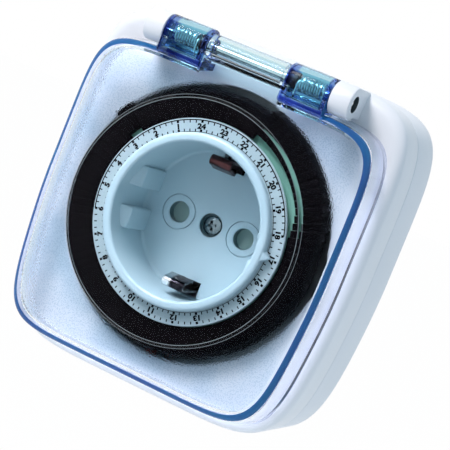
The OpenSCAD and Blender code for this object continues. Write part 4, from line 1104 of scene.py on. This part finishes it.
def hingeSide():  # one barrel with its square block, rounded on the outside
    h, z, y, r = hinge, heights["hinge"], hingeUp, hinge["barrelR"]
    profile = [(h["footY"], z - r + 0.2), (h["footY"] + 0.2, z - r)] + arc((y, z), r, -90, 90, 36)
    profile += [(h["footY"] + 0.35, z + r), (h["footY"], z + r - 0.35)]
    return rounded(tidied(alongX(prism(profile, h["innerX"], h["outerX"]))), 0.3, 3, 50)


def hingeHollow():
    h, z, wall = hinge, heights["hinge"], hinge["barrelWall"]
    foot, r = h["footY"] + wall, h["barrelR"] - wall
    profile = [(foot, z - r)] + arc((hingeUp, z), r, -90, 90, 24) + [(foot, z + r)]
    return rounded(tidied(alongX(prism(profile, h["innerX"] + wall, h["outerX"] - wall))), 0.25, 2, 50)


def mouldLine():  # cutter for a shallow line across the skirt
    m, bend = mouldLines, lid["front"] - lid["edge"]
    tool = block(*m["x"], *m["y"], heights["front"], bend)
    return carve(tool, [fromRings(ringsAt(lid, [(m["deep"] - lid["flare"], lid["foot"]),
                                                (m["deep"], bend + 0.2)]))])


def insetOf(p):  # how far p lies inside the lid's outline
    middle, halfHeight = (lid["top"] - lid["bottom"]) / 2, (lid["top"] + lid["bottom"]) / 2
    y, power = (p.y - middle) / halfHeight, lid["power"]
    narrow = 1 - lid["taper"] * min(1, -y) ** 1.5 if y < 0 else 1
    level = (abs(p.x / narrow / lid["half"]) ** power + abs(y) ** power) ** (1 / power)
    return (1 - level) * lid["half"]


def isRim(p):
    low, high = [lid["front"] - lid["edge"] * (1 - sin(radians(a))) for a in lid["rimTurns"]]
    byHinge = abs(p.x) < hinge["outerX"] and p.y > 30
    return low <= p.z <= high and insetOf(p) < lid["rimDeep"] and not byHinge


def tintOf(p):
    if abs(p.x) > hinge["innerX"] - 0.05 and p.y > hinge["footY"] - 0.05 and p.z > lidTints["blockBottom"]:
        return lidTints["hinge"]
    if p.y > lid["top"] + 0.6:
        return lidTints["tube"]
    return lidTints["skirt" if p.z < lid["front"] - lid["edge"] else "face"]


def clearLid():
    h, top, front, wall = hinge, lid["top"], lid["front"], lid["wall"]
    x0, beyond, tube = h["innerX"], h["outerX"] + 1, h["innerX"] - h["barrelWall"]
    obj = carve(lidShell(), [block(-x0, x0, top - wall - 2, top + 3, heights["front"] - 1, front - wall)])
    join(obj, [block(-x0 - 0.2, x0 + 0.2, top - lid["edge"] - 1, hingeUp, front - wall, front),
               hingeRod(h["tubeR"], -x0 - 0.2, x0 + 0.2, 96)] + pair(hingeSide))
    carve(obj, pair(hingeHollow) + [
        hingeRod(h["tubeBoreR"], -tube, tube, 96), hingeRod(h["pinR"] + 0.05, -beyond, beyond),
        hingeRod(h["bushR"] + 0.3, -x0, -beyond), hingeRod(h["bushR"] + 0.3, x0, beyond),
    ] + pair(mouldLine))
    tint = obj.data.color_attributes.new("tint", "FLOAT_COLOR", "POINT")
    for v in obj.data.vertices:
        tint.data[v.index].color = tintOf(v.co)
    inRim = [isRim(face.center) for face in obj.data.polygons]
    hang(obj, "clearLid", paint["lid"], "lid", "lid", "lid", smooth=24)
    coatFaces(obj, paint["rim"], inRim)


def windowBead():  # fine raised line round the window, and a fainter one at its foot, pale as painted highlights of the window's edge
    z, made = lidHigh.z, []
    for r, height, thick in ((lid["windowR"] + 0.08, z - 0.04, 0.065),
                             (lid["windowFootR"] - 0.1, z - 0.62, 0.045)):
        section = [(r + thick * cos(a), height + thick * sin(a))
                   for a in (0, pi / 3, 2 * pi / 3, pi, -pi / 2)]
        made.append(lathe(section, 224, loop=True))
    hang(together(made), "windowBead", paint["bead"], "lid", "lid")


clearLid()
windowBead()
print("lid ready")


# Hinge.

spring = {"wireR": 0.28, "sides": 8, "coilR": 2.1, "pitch": 0.66, "turns": 10, "outer": 20.9,
          "legX": 24.5, "steps": 28, "bendOver": 6.4}


def wire(points, r, sides):
    curve = bpy.data.curves.new("wire", "CURVE")
    curve.dimensions, curve.bevel_depth, curve.use_fill_caps = "3D", r, True
    curve.bevel_resolution = sides // 2 - 2
    line = curve.splines.new("POLY")
    line.points.add(len(points) - 1)
    for point, spot in zip(line.points, points):
        point.co = (*spot, 1)
    path = newObject(curve)
    mesh = meshOf(path)
    bpy.data.objects.remove(path)
    return tidied(newObject(mesh))


def hingeSpring(name, node, side):  # its wire runs from the housing to the lid round its coil
    s, y, z, r = spring, hingeUp, heights["hinge"], spring["coilR"]
    points = [(s["legX"], y, z + r), (s["outer"] + 0.45, y, z + r)]
    for k in range(s["turns"] * s["steps"] + 1):
        a = 2 * pi * k / s["steps"]
        x = s["outer"] - s["wireR"] - s["pitch"] * k / s["steps"]
        points.append((x, y + r * sin(a), z + r * cos(a)))
    points += [(x, y - 0.6, z + r + 0.12), (x, y - 1.6, z + 2.1), (x - 0.1, y - 2.6, z + 2.1),
               (x - 0.3, y - 3.3, z + 1.8), (x - 0.5, y - 3.6, z + 1.1)]
    obj = wire([(side * px, py, pz) for px, py, pz in points], s["wireR"], s["sides"])
    hang(obj, name, paint["spring"], "steel", None, node)
    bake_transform(obj)


def hingePin():
    r, reach = hinge["pinR"], hinge["earX"] + hinge["earLength"] - 0.5
    dome = arc((0, reach - r), r, 20, 80, 5)
    profile = [(far, -z) for far, z in dome[::-1]] + [(r, -reach + r * 0.9), (r, reach - r * 0.9)] + dome
    hang(ontoHinge(lathe(profile, 48)), "hingePin", paint["spring"], "nickel", "housing", "hinge_pin")


bush = {"reach": (11.1, 13.52), "boreR": 1.15, "bevel": 0.15}


def bushes():
    (low, high), bore, bevel, r = bush["reach"], bush["boreR"], bush["bevel"], hinge["bushR"]
    profile = [(bore, low), (r - bevel, low), (r, low + bevel), (r, high - bevel), (r - bevel, high),
               (bore, high)]
    made = [ontoHinge(lathe(profile, 64, loop=True), side * pi / 2) for side in (-1, 1)]
    hang(together(made), "springBushes", paint["bush"], "bush", "lid", "spring_bushes")


hingeSpring("hingeSpringLeft", "hinge_spring_left", -1)
hingeSpring("hingeSpringRight", "hinge_spring_right", 1)
hingePin()
bushes()
print("hinge ready")


# Pieces that keep their shape get their finish.

for row in frame["record"]["subparts"]:
    piece = frame["nodes"][row["node"]]
    if not piece.hide_render:
        piece.data.materials.clear()
        piece.data.materials.append(paint[row["material_slot"]])
print("inner pieces dressed")


# Floor, light and camera, in metres.

room = {
    "floor": -0.16, "size": 6.0, "ambient": 0.76, "frontShare": 0.35, "ambientColour": (0.68, 0.86, 1.0, 1.0),
    "keySize": 0.26, "keyPower": 4.8, "keyColour": (1, 0.92, 0.91), "keyAt": (-0.271, -0.489, 0.54),
    "aim": (0.0, -0.045, 0.0), "floorGlow": 0.985,
}
white = {"Color": (1, 1, 1, 1), "Strength": 1.0}


def whiteBehind(tree):  # 1 for the rays by which camera, gloss and glass see the background
    node = addNode(tree, "ShaderNodeLightPath")
    camera, glossy, glass, depth = [Signal(tree, node.outputs[key]) for key in (
        "Is Camera Ray", "Is Glossy Ray", "Is Transmission Ray", "Diffuse Depth")]
    return calc("MAXIMUM", camera, calc("MAXIMUM", glossy, glass)) * (depth < 0.5)


def world():  # an even sky that is dimmer in front of the dial
    sky = bpy.data.worlds.new("studio")
    bpy.context.scene.world = sky
    sky.use_nodes = True
    tree = sky.node_tree
    toward = split(take(tree, "ShaderNodeTexCoord", output="Generated"))[1]
    inFront = calc("MAXIMUM", toward * -1.0, 0.0)
    strength = ramp(inFront, 0.0, 1.0, room["ambient"], room["ambient"] * room["frontShare"])
    ambient = take(tree, "ShaderNodeBackground", {"Color": room["ambientColour"], "Strength": strength})
    mixShaders(tree, whiteBehind(tree), ambient, take(tree, "ShaderNodeBackground", white), "World Output")


def studioFloor():
    half = room["size"] / 2
    mesh = bpy.data.meshes.new("floor")
    corners = [(-half, -half), (half, -half), (half, half), (-half, half)]
    mesh.from_pydata([(x, y, room["floor"]) for x, y in corners], [], [(0, 1, 2, 3)])
    obj = newObject(mesh, "floor")
    material, tree, shader = newMaterial("floorPaint")
    skin = useGroup(tree, "moulding", Cloud_Size=0.4)
    fill(shader, {"Base Color": blend(skin["Cloud"], rgb("#f6f7f8"), rgb("#fafbfb")), "Roughness": 0.8})
    mixShaders(tree, whiteBehind(tree) * room["floorGlow"], Signal(tree, shader.outputs[0]),
               take(tree, "ShaderNodeEmission", white), "Material Output")
    obj.data.materials.append(material)


def keyLight():
    lamp = bpy.data.lights.new("key", "AREA")
    lamp.shape, lamp.size = "DISK", room["keySize"]
    lamp.energy, lamp.color = room["keyPower"], room["keyColour"]
    obj = newObject(lamp, "key")
    obj.location = room["keyAt"]
    obj.rotation_euler = (Vector(room["aim"]) - obj.location).to_track_quat("-Z", "Y").to_euler()


view = {
    "at": (0.154553, -0.448608, 0.043168), "right": (0.85770232, 0.35233422, 0.37444268),
    "up": (-0.3833476, -0.04708321, 0.92240327), "back": (0.3426242, -0.93468913, 0.0946831),
    "lens": 139.86, "sensor": 36.0,
}


def camera():
    data = bpy.data.cameras.new("camera")
    data.lens, data.sensor_width, data.clip_start = view["lens"], view["sensor"], 0.01
    obj = newObject(data, "camera")
    axes = Matrix((view["right"], view["up"], view["back"])).transposed().to_4x4()
    obj.matrix_world = Matrix.Translation(view["at"]) @ axes
    bpy.context.scene.camera = obj


world()
studioFloor()
keyLight()
camera()
bpy.context.scene.view_settings.view_transform = "Standard"
print("studio ready")
